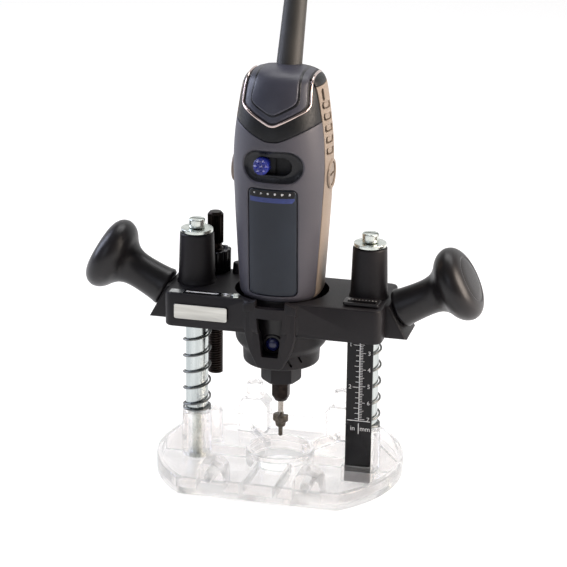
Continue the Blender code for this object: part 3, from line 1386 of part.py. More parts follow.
def nose_piece():
    """Nose with the collar's seat, the thread below it, the lower bearing's seat and the fan's room."""
    seat = COLLAR_BOTTOM + COLLAR_FLOOR + GAP
    foot_top = COLLAR_SHOULDER_Z
    flange_top = BODY_STATIONS[0][0] - GAP
    spigot = body_x(BODY_STATIONS[0][0], BODY_WALL) - 1.5 * GAP
    room = spigot - SPIGOT_WALL
    bearing_top = LOWER_BEARING_Z + BEARING + SUNK
    bore = SHAFT_RADIUS + 2 * GAP
    profile = [
        (spigot, SPIGOT_TOP),
        (spigot, flange_top),
        (NOSE_FLANGE_RADIUS, flange_top),
        (NOSE_FLANGE_RADIUS, flange_top - 3.0 * MM),
        (NOSE_RADIUS, LOWER_BEARING_Z),
        (NOSE_RADIUS, foot_top + SUNK),
        (NOSE_FOOT_RADIUS, foot_top - 2.0 * MM),
        (NOSE_FOOT_RADIUS, seat),
        (NOSE_THREAD_RADIUS, seat),
        (NOSE_THREAD_RADIUS, NOSE_THREAD_BOTTOM),
        (bore, NOSE_THREAD_BOTTOM),
        (bore, LOWER_BEARING_Z - GAP),
        (LOWER_BEARING_RADIUS + GAP, LOWER_BEARING_Z - GAP),
        (LOWER_BEARING_RADIUS + GAP, bearing_top),
        (room, bearing_top + SUNK),
        (room, SPIGOT_TOP),
    ]
    nose = turned("nose_piece", profile, "black_nylon", 26)
    back = -bore - 1.2 * MM
    front = -NOSE_RADIUS - PAST
    wide = rod("button_way", BUTTON_RADIUS + GAP, (0, front, BUTTON_Z), (0, back - 2.0 * MM, BUTTON_Z), sides=14)
    pin = rod("button_pin_way", BUTTON_PIN_RADIUS + GAP, (0, front, BUTTON_Z), (0, 0, BUTTON_Z), sides=10)
    cut(nose, wide, pin)
    return back - 2.0 * MM


def spindle_lock(stop):
    """Lock button with its pin, and the small spring that pushes it out."""
    face = -NOSE_RADIUS - BUTTON_PROUD
    pin_end = -SHAFT_RADIUS - BUTTON_TRAVEL - GAP
    back = face + BUTTON_HEAD
    dome = 0.8 * MM
    profile = [
        (0.0, pin_end),
        (BUTTON_PIN_RADIUS, pin_end),
        (BUTTON_PIN_RADIUS, back),
        (BUTTON_RADIUS, back),
        (BUTTON_RADIUS, face + dome),
        (BUTTON_RADIUS - dome, face),
        (0.0, face),
    ]
    at, tilt = (0, 0, BUTTON_Z), (-math.pi / 2, 0, 0)
    turned("spindle_lock_button", profile, "blue_button", 14, at, tilt)
    low, high = back + GAP + BUTTON_SPRING_WIRE / 2, stop - GAP - BUTTON_SPRING_WIRE / 2
    radius = BUTTON_RADIUS - BUTTON_SPRING_WIRE / 2 - GAP
    count = round(BUTTON_SPRING_TURNS * POINTS_PER_CURL)
    centres = [(BUTTON_SPRING_TURNS * i / count, low + (high - low) * i / count) for i in range(count + 1)]
    lay = Matrix.Translation(at) @ Matrix.Rotation(-math.pi / 2, 4, "X")
    coil("lock_button_spring", "spring_steel", radius, BUTTON_SPRING_WIRE, centres, matrix=lay)


def bearing(name, outer, low):
    inner = SHAFT_RADIUS + GAP
    groove = 0.5 * MM
    third = (outer - inner) / 3
    top = low + BEARING
    profile = [
        (outer, top),
        (outer, low),
        (outer - third, low),
        (outer - third, low + groove),
        (inner + third, low + groove),
        (inner + third, low),
        (inner, low),
        (inner, top),
        (inner + third, top),
        (inner + third, top - groove),
        (outer - third, top - groove),
        (outer - third, top),
    ]
    turned(name, profile, "zinc_plate", 14)


def armature():
    """Shaft with its laminated core and winding heads, bored below for the collet."""
    collet_room = SHANK_RADIUS + GAP + COLLET_WALL + GAP
    bore_top = SHAFT_SHOULDER + 6.0 * MM
    profile = [
        (0.0, SHAFT_TOP),
        (SHAFT_RADIUS, SHAFT_TOP),
        (SHAFT_RADIUS, CORE_TOP + WINDING),
        (WINDING_RADIUS * 0.7, CORE_TOP + WINDING),
        (WINDING_RADIUS, CORE_TOP + WINDING / 2),
        (WINDING_RADIUS, CORE_TOP),
        (CORE_RADIUS, CORE_TOP),
        (CORE_RADIUS, CORE_BOTTOM),
        (WINDING_RADIUS, CORE_BOTTOM),
        (WINDING_RADIUS, CORE_BOTTOM - WINDING / 2),
        (WINDING_RADIUS * 0.7, CORE_BOTTOM - WINDING),
        (SHAFT_RADIUS, CORE_BOTTOM - WINDING),
        (SHAFT_RADIUS, SHAFT_SHOULDER),
        (SHAFT_NOSE_RADIUS, SHAFT_SHOULDER),
        (SHAFT_NOSE_RADIUS, SHAFT_NOSE_BOTTOM),
        (collet_room, SHAFT_NOSE_BOTTOM),
        (collet_room, bore_top),
        (0.0, bore_top),
    ]
    turned("armature", profile, "laminations", 16)


def motor_field():
    """Field frame round the armature, with flat cheeks at its front and rear."""
    inner = CORE_RADIUS + 2.5 * GAP
    profile = [
        (FIELD_RADIUS, CORE_TOP),
        (FIELD_RADIUS, CORE_BOTTOM),
        (inner, CORE_BOTTOM),
        (inner, CORE_TOP),
    ]
    field = turned("motor_field", profile, "laminations", 20)
    flat = FIELD_RADIUS - 2.0 * MM
    wide = 2 * FIELD_RADIUS
    keep(field, box("field_flats", (-wide, -flat, CORE_BOTTOM - PAST), (wide, flat, CORE_TOP + PAST)))


def ring(name, outer, low, high, finish, steps=16):
    inner = SHAFT_RADIUS + GAP
    turned(name, [(outer, high), (outer, low), (inner, low), (inner, high)], finish, steps)


def cooling_fan():
    """Hub and disc with straight blades."""
    hub = 7.0 * MM
    inner, disc = SHAFT_RADIUS + GAP, 1.4 * MM
    top = FAN_BOTTOM + FAN
    profile = [
        (hub, top),
        (hub, FAN_BOTTOM + disc),
        (FAN_RADIUS, FAN_BOTTOM + disc),
        (FAN_RADIUS, FAN_BOTTOM),
        (inner, FAN_BOTTOM),
        (inner, top),
    ]
    fan = turned("cooling_fan", profile, "ivory_plastic", 16)
    for i in range(FAN_BLADES):
        blade = box(f"fan_blade_{i}", (hub - SUNK, -0.6 * MM, FAN_BOTTOM + disc / 2),
                    (FAN_RADIUS - 0.4 * MM, 0.6 * MM, top - 0.6 * MM))
        blade.rotation_euler = (0, 0, 2 * math.pi * i / FAN_BLADES)
        join(fan, blade)


def collet():
    """Slit sleeve that grips the cutter's shank."""
    inner = SHANK_RADIUS + GAP
    outer = inner + COLLET_WALL
    low, high = SHAFT_NOSE_BOTTOM - 2.0 * MM, SHAFT_SHOULDER + 4.0 * MM
    sleeve_ring = turned("collet", [(outer, high), (outer, low), (inner, low), (inner, high)], "tool_steel", 14)
    slit = 0.5 * MM
    cut(sleeve_ring, box("collet_slit", (-slit / 2, 0, low - PAST), (slit / 2, 2 * outer, high - 3.0 * MM)))


def collet_nut():
    """Hexagon nut with a tapered mouth on the shaft's nose."""
    nut = hexagon("collet_nut", COLLET_NUT_ACROSS, COLLET_NUT_BOTTOM, COLLET_NUT_TOP, "dark_steel", turn=29.0)
    corner = COLLET_NUT_ACROSS / math.sqrt(3)
    taper = 3.0 * MM
    outside = [
        (0.0, COLLET_NUT_TOP + PAST),
        (corner + SUNK, COLLET_NUT_TOP + PAST),
        (corner + SUNK, COLLET_NUT_BOTTOM + taper),
        (corner * 0.55, COLLET_NUT_BOTTOM - GAP),
        (0.0, COLLET_NUT_BOTTOM - GAP),
    ]
    keep(nut, turned("collet_nut_taper", outside, steps=20))
    mouth = SHANK_RADIUS + 2 * GAP
    thread = SHAFT_NOSE_RADIUS + GAP
    seat = SHAFT_NOSE_BOTTOM - 2.0 * MM - GAP
    inside = [
        (0.0, COLLET_NUT_TOP + PAST),
        (thread, COLLET_NUT_TOP + PAST),
        (thread, seat),
        (mouth, seat),
        (mouth, COLLET_NUT_BOTTOM - PAST),
        (0.0, COLLET_NUT_BOTTOM - PAST),
    ]
    cut(nut, turned("collet_nut_bore", inside, steps=14))


def cutter_bit():
    """Shank, two-winged cutting head and pilot tip."""
    neck = SHANK_RADIUS * 0.75
    top = SHAFT_SHOULDER + 5.0 * MM
    middle = (CUTTER_TOP + CUTTER_BOTTOM) / 2
    profile = [
        (0.0, top),
        (SHANK_RADIUS, top),
        (SHANK_RADIUS, CUTTER_TOP + 2.0 * MM),
        (neck, CUTTER_TOP + SUNK),
        (neck, CUTTER_TOP),
        (CUTTER_RADIUS * 0.55, CUTTER_TOP - 0.6 * MM),
        (CUTTER_RADIUS, middle + 1.6 * MM),
        (CUTTER_RADIUS, middle - 0.6 * MM),
        (CUTTER_RADIUS * 0.5, CUTTER_BOTTOM),
        (PILOT_RADIUS, CUTTER_BOTTOM - 0.6 * MM),
        (PILOT_RADIUS, CUTTER_TIP_Z + 0.6 * MM),
        (PILOT_RADIUS * 0.6, CUTTER_TIP_Z),
        (0.0, CUTTER_TIP_Z),
    ]
    bit = turned("cutter_bit", profile, "tool_steel", 14)
    wide = 2 * CUTTER_RADIUS
    for side in (-1, 1):
        ends = sorted((side * neck, side * wide))
        flute = box(f"flute_{side}", (min(0, side * wide), ends[0], CUTTER_BOTTOM - SUNK / 2),
                    (max(0, side * wide), ends[1], CUTTER_TOP + SUNK / 2))
        cut(bit, flute)


base_plate()
both_sides(guide_column)
both_sides(column_bolt)
both_sides(stop_washer)
both_sides(stop_screw)
both_sides(plunge_spring)
depth_scale()
carriage_frame()
both_sides(guide_bush)
clamp_nut()
badge_plate()
scale_pointer()
handle(-1, "lock_handle")
stud(-1, "lock_stud")
handle(1, "right_handle")
stud(1, "right_handle_stud")
depth_stop()
front_housing()
rear_housing()
front_panel()
end_cap()
trim_strip()
end_band()
switch_module(switch_slider())
circuit_board()
for screw_z, level_word in zip(SCREW_HEIGHTS, ("lower", "upper")):
    both_sides(lambda side, word: housing_screw(side, word, screw_z, level_word))
strain_relief()
both_sides(brush_set)
spindle_lock(nose_piece())
bearing("lower_bearing", LOWER_BEARING_RADIUS, LOWER_BEARING_Z)
bearing("upper_bearing", UPPER_BEARING_RADIUS, UPPER_BEARING_Z)
armature()
motor_field()
ring("commutator", COMMUTATOR_RADIUS, COMMUTATOR_BOTTOM, COMMUTATOR_TOP, "copper")
cooling_fan()
collet()
collet_nut()
cutter_bit()
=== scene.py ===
import math

import bmesh
import bpy
from mathutils import Matrix, Vector
from mathutils.bvhtree import BVHTree
from mathutils.geometry import intersect_point_line


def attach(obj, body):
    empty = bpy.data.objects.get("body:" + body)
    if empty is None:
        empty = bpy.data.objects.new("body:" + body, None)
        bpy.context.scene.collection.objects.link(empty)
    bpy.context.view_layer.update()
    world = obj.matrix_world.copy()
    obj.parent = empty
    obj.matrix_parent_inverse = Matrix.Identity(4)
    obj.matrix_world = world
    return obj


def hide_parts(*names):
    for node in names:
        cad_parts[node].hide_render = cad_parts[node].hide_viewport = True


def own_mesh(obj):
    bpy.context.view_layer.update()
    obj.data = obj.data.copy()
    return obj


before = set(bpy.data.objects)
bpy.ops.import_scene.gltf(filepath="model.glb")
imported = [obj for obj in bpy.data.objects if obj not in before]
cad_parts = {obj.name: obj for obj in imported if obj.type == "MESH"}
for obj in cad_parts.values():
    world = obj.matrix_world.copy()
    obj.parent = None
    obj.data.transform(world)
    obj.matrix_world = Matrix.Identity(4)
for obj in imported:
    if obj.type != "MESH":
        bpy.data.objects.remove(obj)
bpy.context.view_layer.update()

MM = 0.001
INCH = 25.4 * MM
SCENE = bpy.context.scene
UP = Vector((0, 0, 1))
STILL = Matrix.Identity(4)
FLIP = Vector((-1, 1, 1))

# Stand
BASE_RADIUS, BASE_HALF_DEPTH = 72.0 * MM, 55.0 * MM
FLOOR, FLOOR_ROOT = 3.0 * MM, 2.0 * MM
RIM_TOP, RIM_WALL = 10.0 * MM, 2.8 * MM
EYE_TOP, EYE_OUTSIDE = 12.0 * MM, 20.0 * MM
RIB_TOP, RIB_HALF, RIB_START = 9.0 * MM, 1.2 * MM, 17.5 * MM
ROD_POST_X, ROD_POST_HALF, ROD_BORE_Z = 28.0 * MM, 8.0 * MM, 12.0 * MM
REAR_POST_X, REAR_POST_Y, REAR_POST_FRONT = 27.0 * MM, 45.0 * MM, 38.5 * MM
COLUMN_X, COLUMN_RADIUS, COLUMN_TOP = 50.6 * MM, 6.65 * MM, 139.5 * MM
BOSS_RADIUS, BOSS_TOP = 8.5 * MM, 30.0 * MM
SCALE_X, SCALE_Y, SCALE_WIDTH, SCALE_TOP = 50.2 * MM, -18.5 * MM, 15.0 * MM, 110.5 * MM
SCALE_ZERO, SCALE_FOOT = 112.1 * MM, 41.0 * MM
STOP_X, STOP_Y = -45.4 * MM, 21.0 * MM
GAP = 0.3 * MM
# Degrees past which an edge stays crisp
CRISP, CRISP_SKIN, CRISP_WIRE = 38, 50, 60
SIDES = ((-1, "left"), (1, "right"))
AT_COLUMN = {side: Matrix.Translation((side * COLUMN_X, 0, 0)) for side, _ in SIDES}
AT_STOP = Matrix.Translation((STOP_X, STOP_Y, 0))

# Carriage
ARM_HALF_LENGTH, ARM_HALF_DEPTH = 63.0 * MM, 26.0 * MM
ARM_BOTTOM, ARM_TOP = 90.0 * MM, 110.0 * MM
HANDLE_RISE = math.radians(28.0)
HANDLE_FOOT = 68.173 * MM, 103.78 * MM
CLIP_X, CLIP_Y = -31.0 * MM, 21.4 * MM
FILM_Y = -21.6 * MM
LOCK_Z = 83.0 * MM

# Tool body: height, half width, depth to the front, depth to the rear, in mm
STATIONS = (
    (109.0, 22.0, 23.0, 24.0), (112.0, 23.7, 24.7, 26.0), (121.0, 24.4, 25.3, 26.8),
    (130.0, 24.9, 25.9, 27.4), (140.0, 25.5, 26.4, 28.2), (150.0, 26.1, 26.8, 29.0),
    (159.0, 26.6, 27.3, 29.7), (168.0, 27.0, 27.8, 30.2), (177.0, 27.5, 28.4, 30.7),
    (185.0, 27.7, 28.8, 31.0), (192.0, 27.5, 29.3, 31.1), (198.0, 27.2, 29.6, 31.0),
    (204.0, 26.7, 29.7, 30.8), (209.0, 26.1, 29.5, 30.4), (214.0, 25.5, 28.6, 29.9),
    (219.0, 24.8, 27.2, 29.4), (225.0, 24.0, 25.0, 28.3), (229.6, 23.2, 22.9, 27.1),
    (232.4, 22.4, 21.1, 25.7), (234.6, 21.2, 19.3, 23.7), (236.4, 19.0, 17.0, 20.6),
    (237.8, 15.8, 13.9, 16.6), (238.7, 11.4, 10.0, 11.6), (239.1, 6.0, 5.3, 6.0),
    (239.2, 1.0, 0.9, 1.0),
)
SQUARENESS, BODY_SIDES = 2.25, 132
SEAM_Y, SEAM_GAP = -11.0 * MM, 0.4 * MM
LIP, FRONT_WALL, REAR_WALL = 0.3 * MM, 1.2 * MM, 2.2 * MM
OVER_ROOF = 241.0 * MM
SHIELD_HALF, SHIELD_TOP_HALF = 17.8 * MM, 16.6 * MM
SHIELD_BEND_Z, SHIELD_TIP_Z, SHIELD_INSET = 221.9 * MM, 213.0 * MM, 4.6 * MM
TRIM_HALF, TRIM_PROUD = 0.8 * MM, 0.75 * MM
ROOF_Z, ROOF_END = 231.5 * MM, 8.0 * MM
BAND_TIP_Z, BAND_END_Z, BAND_END = 201.8 * MM, 212.3 * MM, 24.0 * MM
PANEL_BOTTOM, PANEL_TOP, PANEL_WIDTH = 113.0 * MM, 176.0 * MM, 28.0 * MM
SWITCH_Z, SWITCH_X = 188.8 * MM, -6.2 * MM
RECESS_LENGTH, RECESS_HEIGHT, RECESS_DEPTH = 36.0 * MM, 20.6 * MM, 3.0 * MM
SLOT_LENGTH, SLOT_HEIGHT = 21.4 * MM, 10.4 * MM
BRUSH_Z, BRUSH_FACE, BRUSH_HOLE = 180.2 * MM, 27.6 * MM, 6.75 * MM
SCREW_X, SCREW_HEIGHTS = 14.6 * MM, (117.0 * MM, 202.0 * MM)
RELIEF_FOOT, RELIEF_TILT = (0.0, 8.4 * MM, 234.4 * MM), math.radians(22.0)


# Materials

def linear(shade):
    """An sRGB hex shade as linear light."""
    parts = [int(shade[i : i + 2], 16) / 255 for i in (1, 3, 5)]
    return [p / 12.92 if p <= 0.04045 else ((p + 0.055) / 1.055) ** 2.4 for p in parts] + [1.0]


def add(tree, kind, inputs=None, stops=None, **settings):
    """A node with its settings; an input that is given a socket is linked to it."""
    made = tree.nodes.new(kind)
    for name, value in settings.items():
        setattr(made, name, value)
    if stops:
        for element, (place, shade) in zip(made.color_ramp.elements, stops):
            element.position, element.color = place, linear(shade)
    for name, value in (inputs or {}).items():
        if isinstance(value, bpy.types.NodeSocket):
            tree.links.new(value, made.inputs[name])
        else:
            made.inputs[name].default_value = value
    return made


# Where most of a noise texture's values lie
NOISE_LOW, NOISE_HIGH = 0.3, 0.7


def surface(name, shades, patch, grain, depth, rough, stretch=(1, 1, 1), metallic=0, shine=0.5, clear=None):
    """Colour that drifts in patches, with a grain in its gloss and relief; sizes in millimetres."""
    made = bpy.data.materials.new(name)
    made.use_nodes = True
    tree = made.node_tree
    shader = tree.nodes["Principled BSDF"]
    for socket, value in {"Metallic": metallic, "Specular IOR Level": shine, **(clear or {})}.items():
        shader.inputs[socket].default_value = value
    where = add(tree, "ShaderNodeTexCoord").outputs["Object"]
    lay = add(tree, "ShaderNodeMapping", {"Vector": where, "Scale": stretch}).outputs["Vector"]
    drift = add(tree, "ShaderNodeTexNoise", {"Vector": lay, "Scale": 1 / (patch * MM), "Detail": 4.0})
    stops = [*zip((NOISE_LOW, NOISE_HIGH), shades)]
    tone = add(tree, "ShaderNodeValToRGB", {"Fac": drift.outputs["Fac"]}, stops)
    grit = add(tree, "ShaderNodeTexNoise", {"Vector": lay, "Scale": 1 / (grain * MM), "Detail": 2.0})
    pits = grit.outputs["Fac"]
    span = {"From Min": NOISE_LOW, "From Max": NOISE_HIGH, "To Min": rough[0], "To Max": rough[1]}
    gloss = add(tree, "ShaderNodeMapRange", {"Value": pits, **span})
    relief = add(tree, "ShaderNodeBump", {"Height": pits, "Strength": 0.5, "Distance": depth * MM})
    tree.links.new(tone.outputs["Color"], shader.inputs["Base Color"])
    tree.links.new(gloss.outputs["Result"], shader.inputs["Roughness"])
    tree.links.new(relief.outputs["Normal"], shader.inputs["Normal"])
    return made


def metal(*facts, **more):
    """The same for a bare metal."""
    return surface(*facts, metallic=1, **more)


# Injection-moulded clear acrylic: polished steel mould, so glass-like with faint flow waves
CLEAR_ACRYLIC = surface(
    "moulded_clear_acrylic", ("#f9f6f5", "#fdfbfa"), 30, 12, 0.02, (0.015, 0.05),
    clear={"Transmission Weight": 1.0, "IOR": 1.49, "Alpha": 0.72},
)
# Glass-filled nylon from a spark-eroded mould: near black with a fine even grain that breaks the gloss.
# The true grain is 0.05 mm; it is drawn at 0.5 mm so that it shows.
BLACK_NYLON = surface(
    "spark_textured_black_nylon", ("#181619", "#1f1c1f"), 25, 0.5, 0.03, (0.4, 0.54), shine=0.28
)
# Nylon from a smoother mould, rubbed by hands: broad soft highlights
GRIP_NYLON = surface("satin_black_nylon", ("#161416", "#1e1b1d"), 30, 0.7, 0.02, (0.3, 0.42), shine=0.4)
# ABS with a soft-touch lacquer: slate grey, dry, no sharp reflections
SLATE_ABS = surface("soft_touch_slate_abs", ("#45444c", "#4d4b53"), 40, 0.6, 0.02, (0.44, 0.56))
# The same lacquer over a darker, bluer moulding
CAP_LACQUER = surface("soft_touch_dark_slate_abs", ("#373843", "#3f404c"), 30, 0.6, 0.015, (0.34, 0.46))
# Slate ABS, polished and near black: in the switch's dish partly its own darker moulding and partly painted
# shade of the deep recess; round the cap's middle it is painted shadow
DISH_AND_PAINTED_SHADOW_ABS = surface("dark_slate_abs_and_painted_shadow", ("#0d0e13", "#14151b"), 20, 0.8, 0.01, (0.26, 0.38), shine=0.35)
# Self-coloured ABS, lightly grained: warm grey with a low sheen
WARM_ABS = surface("grained_warm_grey_abs", ("#85786c", "#918376"), 40, 0.6, 0.025, (0.45, 0.6))
# The same plastic from a plainer mould: a shade darker, a little glossier
CAP_ABS = surface("moulded_warm_grey_abs", ("#776b60", "#83766a"), 20, 0.6, 0.02, (0.4, 0.5))
# Painted ABS: darker and bluer than the shell, with a level satin film
PANEL_PAINT = surface("satin_slate_paint", ("#1d232d", "#232a35"), 30, 1.2, 0.01, (0.3, 0.38), shine=0.35)
# Thermoplastic elastomer with a leather grain: black, with a broken sheen. Drawn at 1.1 mm so that it shows.
BAND_ELASTOMER = surface(
    "grained_black_elastomer", ("#08090c", "#101216"), 6, 1.1, 0.1, (0.36, 0.56), shine=0.35
)
# Chromed ABS: a mirror with a slight warm cast
CHROME = metal("chromed_abs", ("#c8b4ae", "#dccbc5"), 12, 4, 0.004, (0.1, 0.18))
# Zinc-plated drawn steel: pale, faintly blue, with drawing lines along its length
ZINC = metal("zinc_plated_steel", ("#b4bbbb", "#d2d8d7"), 3, 0.5, 0.006, (0.16, 0.3), stretch=(1, 1, 0.06))
# Zinc-plated turned heads and washers: paler and a little rougher than the drawn bar
ZINC_TURNED = metal("zinc_plated_fastener", ("#c6cdc8", "#e2e6e0"), 4, 0.6, 0.01, (0.2, 0.34))
# Hard-drawn spring wire with its drawing film: a darker, duller steel
SPRING_WIRE = metal("drawn_spring_wire", ("#6b6d6c", "#878988"), 3, 0.5, 0.006, (0.25, 0.4))
# Black-oxide steel: brown-black, oily gloss, steel showing through in thin patches
BLACK_OXIDE = metal("black_oxide_steel", ("#1d1918", "#322b28"), 2.5, 0.5, 0.01, (0.28, 0.45))
# Ground tool steel: bright, with a straw tint from grinding heat
TOOL_STEEL = metal("ground_tool_steel", ("#9b938a", "#c4bfb8"), 2, 0.4, 0.008, (0.2, 0.34))
# The same steel, brown where cutting has heated it
CUTTER_STEEL = metal("heat_darkened_tool_steel", ("#4a443e", "#6a635b"), 1.5, 0.4, 0.01, (0.25, 0.42))
# Anodised aluminium, brushed along its length: a soft streaked silver
BADGE_METAL = metal(
    "brushed_silver_aluminium", ("#bdbcb6", "#d6d5cf"), 2, 0.5, 0.008, (0.28, 0.42), stretch=(0.08, 1, 1)
)
# Blue ABS from a polished mould: deep colour under sharp small highlights
BLUE_ABS = surface("polished_blue_abs", ("#1a2478", "#25329a"), 3, 0.8, 0.01, (0.18, 0.3))
# The same, darker, for the lock button
NAVY_ABS = surface("polished_navy_abs", ("#14183f", "#1c2152"), 4, 0.8, 0.01, (0.14, 0.26))
# PVC strain relief: matt, slightly dusty grey-black
RELIEF_PVC = surface("matt_grey_pvc", ("#2e2d2b", "#393734"), 18, 0.6, 0.03, (0.5, 0.64))
# Stoved lacquer on rolled steel: a deep even black gloss
SCALE_LACQUER = surface(
    "black_scale_lacquer", ("#0c0b0e", "#141316"), 10, 1.5, 0.008, (0.16, 0.26), shine=0.25
)
# Screen-printed ink: thin, matt and slightly uneven
WHITE_INK = surface("white_screen_ink", ("#dcdcdc", "#ececec"), 2, 0.4, 0.01, (0.45, 0.6))
BLUE_INK = surface("blue_screen_ink", ("#27356f", "#2e3d7d"), 3, 0.5, 0.006, (0.35, 0.5))
# Pale grey with a satin face: painted reflection over the black scale's lower end, where it stands in the
# clear base
PAINTED_REFLECTION_GREY = surface("painted_reflection_pale_grey", ("#a5a5a6", "#b9b9b9"), 6, 1.0, 0.008, (0.3, 0.42))
# Stuck-on film: a black mirror beside the grained arm
DECAL_FILM = surface("gloss_black_film", ("#0b0b0d", "#121215"), 10, 3, 0.006, (0.08, 0.16))
# Hot-stamped foil: a thin bright silver
FOIL = metal("silver_foil", ("#b8bbbb", "#d4d6d5"), 3, 0.8, 0.006, (0.2, 0.34))
# Matt black ABS behind slots and gaps; behind the switch's slot its black is painted shade of the housing's
# dark inside
DARK_INSIDE = surface("matt_black_abs_and_inside_shade", ("#0a0a0b", "#111113"), 10, 0.6, 0.02, (0.6, 0.75))
# Parts inside the housing. Enamelled windings: orange-brown, shiny, banded by the turns
COPPER = metal("enamelled_copper_wire", ("#8a4a2c", "#b7683f"), 2, 0.5, 0.05, (0.25, 0.4), (1, 1, 4))
# Stamped sheets in a stack: grey with fine level lines
LAMINATIONS = metal(
    "stacked_silicon_steel", ("#6a6a6c", "#89898a"), 0.7, 0.5, 0.05, (0.35, 0.5), (0.05, 0.05, 1)
)
# Pressed carbon: dull and sooty
CARBON = surface("pressed_carbon", ("#1d1d1f", "#2a2a2c"), 2, 0.5, 0.03, (0.6, 0.8))
# Glass epoxy under solder mask: glossy green
BOARD = surface("solder_masked_glass_epoxy", ("#0f4a26", "#17602f"), 4, 0.8, 0.02, (0.25, 0.4))
# Uncoloured nylon: a waxy ivory
IVORY_NYLON = surface("natural_nylon", ("#c9c0a6", "#d8d0b8"), 12, 0.7, 0.02, (0.4, 0.55))
# Sintered bronze: brown-gold, finely porous
BRONZE = metal("sintered_bronze", ("#7a5a30", "#a07a44"), 2, 0.5, 0.03, (0.35, 0.5))


# Shaping

def mm(points):
    """Points given in millimetres, as metres."""
    return [tuple(size * MM for size in point) for point in points]


def everything(bm):
    """All of a shape, as the operators that cut and copy it take it."""
    return bm.verts[:] + bm.edges[:] + bm.faces[:]


def verts_of(parts):
    """The vertices among what an operator gives back."""
    return [part for part in parts if isinstance(part, bmesh.types.BMVert)]


def open_edges(bm):
    """The rims of a surface, with a face on one side only."""
    return [edge for edge in bm.edges if edge.is_boundary]


def tidied(bm, lay=STILL):
    """A shape with its doubles merged, put in its place and turned right side out."""
    bmesh.ops.remove_doubles(bm, verts=bm.verts, dist=1e-6)
    bmesh.ops.transform(bm, matrix=lay, verts=bm.verts)
    bmesh.ops.recalc_face_normals(bm, faces=bm.faces)
    return bm


def settle(name, bm, finish, body, nodes=(), sharp=CRISP):
    """The shape as a piece on its body, standing for these CAD nodes; edges past sharp degrees stay crisp."""
    mesh = bpy.data.meshes.new(name)
    bm.to_mesh(mesh)
    bm.free()
    mesh.materials.append(finish)
    mesh.shade_smooth()
    mesh.set_sharp_from_angle(angle=math.radians(sharp))
    piece = bpy.data.objects.new(name, mesh)
    SCENE.collection.objects.link(piece)
    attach(piece, body)
    if nodes:
        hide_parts(*nodes)
    return piece


def grouped(*forms):
    """Several shapes as one."""
    whole = bmesh.new()
    for form in forms:
        mesh = bpy.data.meshes.new("form")
        form.to_mesh(mesh)
        form.free()
        whole.from_mesh(mesh)
        bpy.data.meshes.remove(mesh)
    return whole


def carved(bm, operation, *tools):
    """Cuts closed tool shapes from a closed shape, or joins them to it."""
    works = []
    for form in (bm, *tools):
        mesh = bpy.data.meshes.new("work")
        form.to_mesh(mesh)
        form.free()
        works.append(bpy.data.objects.new("work", mesh))
        SCENE.collection.objects.link(works[-1])
    for tool in works[1:]:
        change = works[0].modifiers.new("carve", "BOOLEAN")
        change.operation = operation
        change.object = tool
        change.solver = "EXACT"
    result = bmesh.new()
    result.from_object(works[0], bpy.context.evaluated_depsgraph_get())
    for work in works:
        bpy.data.meshes.remove(work.data)
    bmesh.ops.remove_doubles(result, verts=result.verts, dist=1e-6)
    bmesh.ops.delete(result, geom=[edge for edge in result.edges if edge.is_wire], context="EDGES")
    bmesh.ops.holes_fill(result, edges=open_edges(result), sides=0)
    return tidied(result)


def flowing(points, steps):
    """Points along a smooth line through the given ones."""
    points = [Vector(point) for point in points]
    ends = [2 * points[0] - points[1], *points, 2 * points[-1] - points[-2]]
    line = []
    for a, b, c, d in zip(ends, ends[1:], ends[2:], ends[3:]):
        for t in (k / steps for k in range(steps)):
            bend = (2 * a - 5 * b + 4 * c - d) * t**2 + (3 * b - a - 3 * c + d) * t**3
            line.append(b + ((c - a) * t + bend) / 2)
    return [tuple(point) for point in (*line, points[-1])]


def eased(points, radius, closed=False, steps=4):
    """A line with its corners rounded."""
    line = []
    for i, point in enumerate(points):
        here = Vector(point)
        before = Vector(points[i - 1]) - here
        after = Vector(points[(i + 1) % len(points)]) - here
        reach = min(radius, 0.49 * before.length, 0.49 * after.length)
        if not closed and i in (0, len(points) - 1):
            line.append(tuple(here))
            continue
        start, end = here + before.normalized() * reach, here + after.normalized() * reach
        for t in (k / steps for k in range(steps + 1)):
            line.append(tuple(start * (1 - t) ** 2 + here * 2 * t * (1 - t) + end * t * t))
    return line


def lathe(profile, sides=64, lay=STILL):
    """Points of (radius, height) spun about Z: a ring where they start off the axis."""
    bm = bmesh.new()
    line = [bm.verts.new((radius, 0, height)) for radius, height in profile]
    pairs = [*zip(line, line[1:])]
    if profile[0][0] > 0:
        pairs.append((line[-1], line[0]))
    edges = [bm.edges.new(pair) for pair in pairs]
    turn = {"axis": UP, "cent": (0, 0, 0), "angle": 2 * math.pi, "steps": sides}
    bmesh.ops.spin(bm, geom=line + edges, use_merge=True, **turn)
    return tidied(bm, lay)


def turned(line, ease, sides=64, lay=STILL, **more):
    """A turned shape: points of (radius, height) in millimetres with their corners rounded, then spun."""
    return lathe(eased(mm(line), ease, **more), sides, lay)


ROUND = {"profile": 0.5, "affect": "EDGES", "material": -1}
AXES = {
    "Z": STILL,
    "Y": Matrix(((1, 0, 0, 0), (0, 0, 1, 0), (0, 1, 0, 0), (0, 0, 0, 1))),
    "X": Matrix(((0, 0, 1, 0), (1, 0, 0, 0), (0, 1, 0, 0), (0, 0, 0, 1))),
}


def slab(outline, low, high, axis="Z", ends=0.0, segments=3, lay=STILL):
    """A flat outline drawn out along an axis, the edges of its two ends rounded."""
    bm = bmesh.new()
    face = bm.faces.new([bm.verts.new((a, b, low)) for a, b in outline])
    drawn = bmesh.ops.extrude_face_region(bm, geom=[face])["geom"]
    bmesh.ops.translate(bm, vec=UP * (high - low), verts=verts_of(drawn))
    bmesh.ops.recalc_face_normals(bm, faces=bm.faces)
    if ends:
        level = [edge for edge in bm.edges if abs(edge.verts[0].co.z - edge.verts[1].co.z) < 1e-9]
        bmesh.ops.bevel(bm, geom=level, offset=ends, segments=segments, clamp_overlap=True, **ROUND)
    return tidied(bm, lay @ AXES[axis])


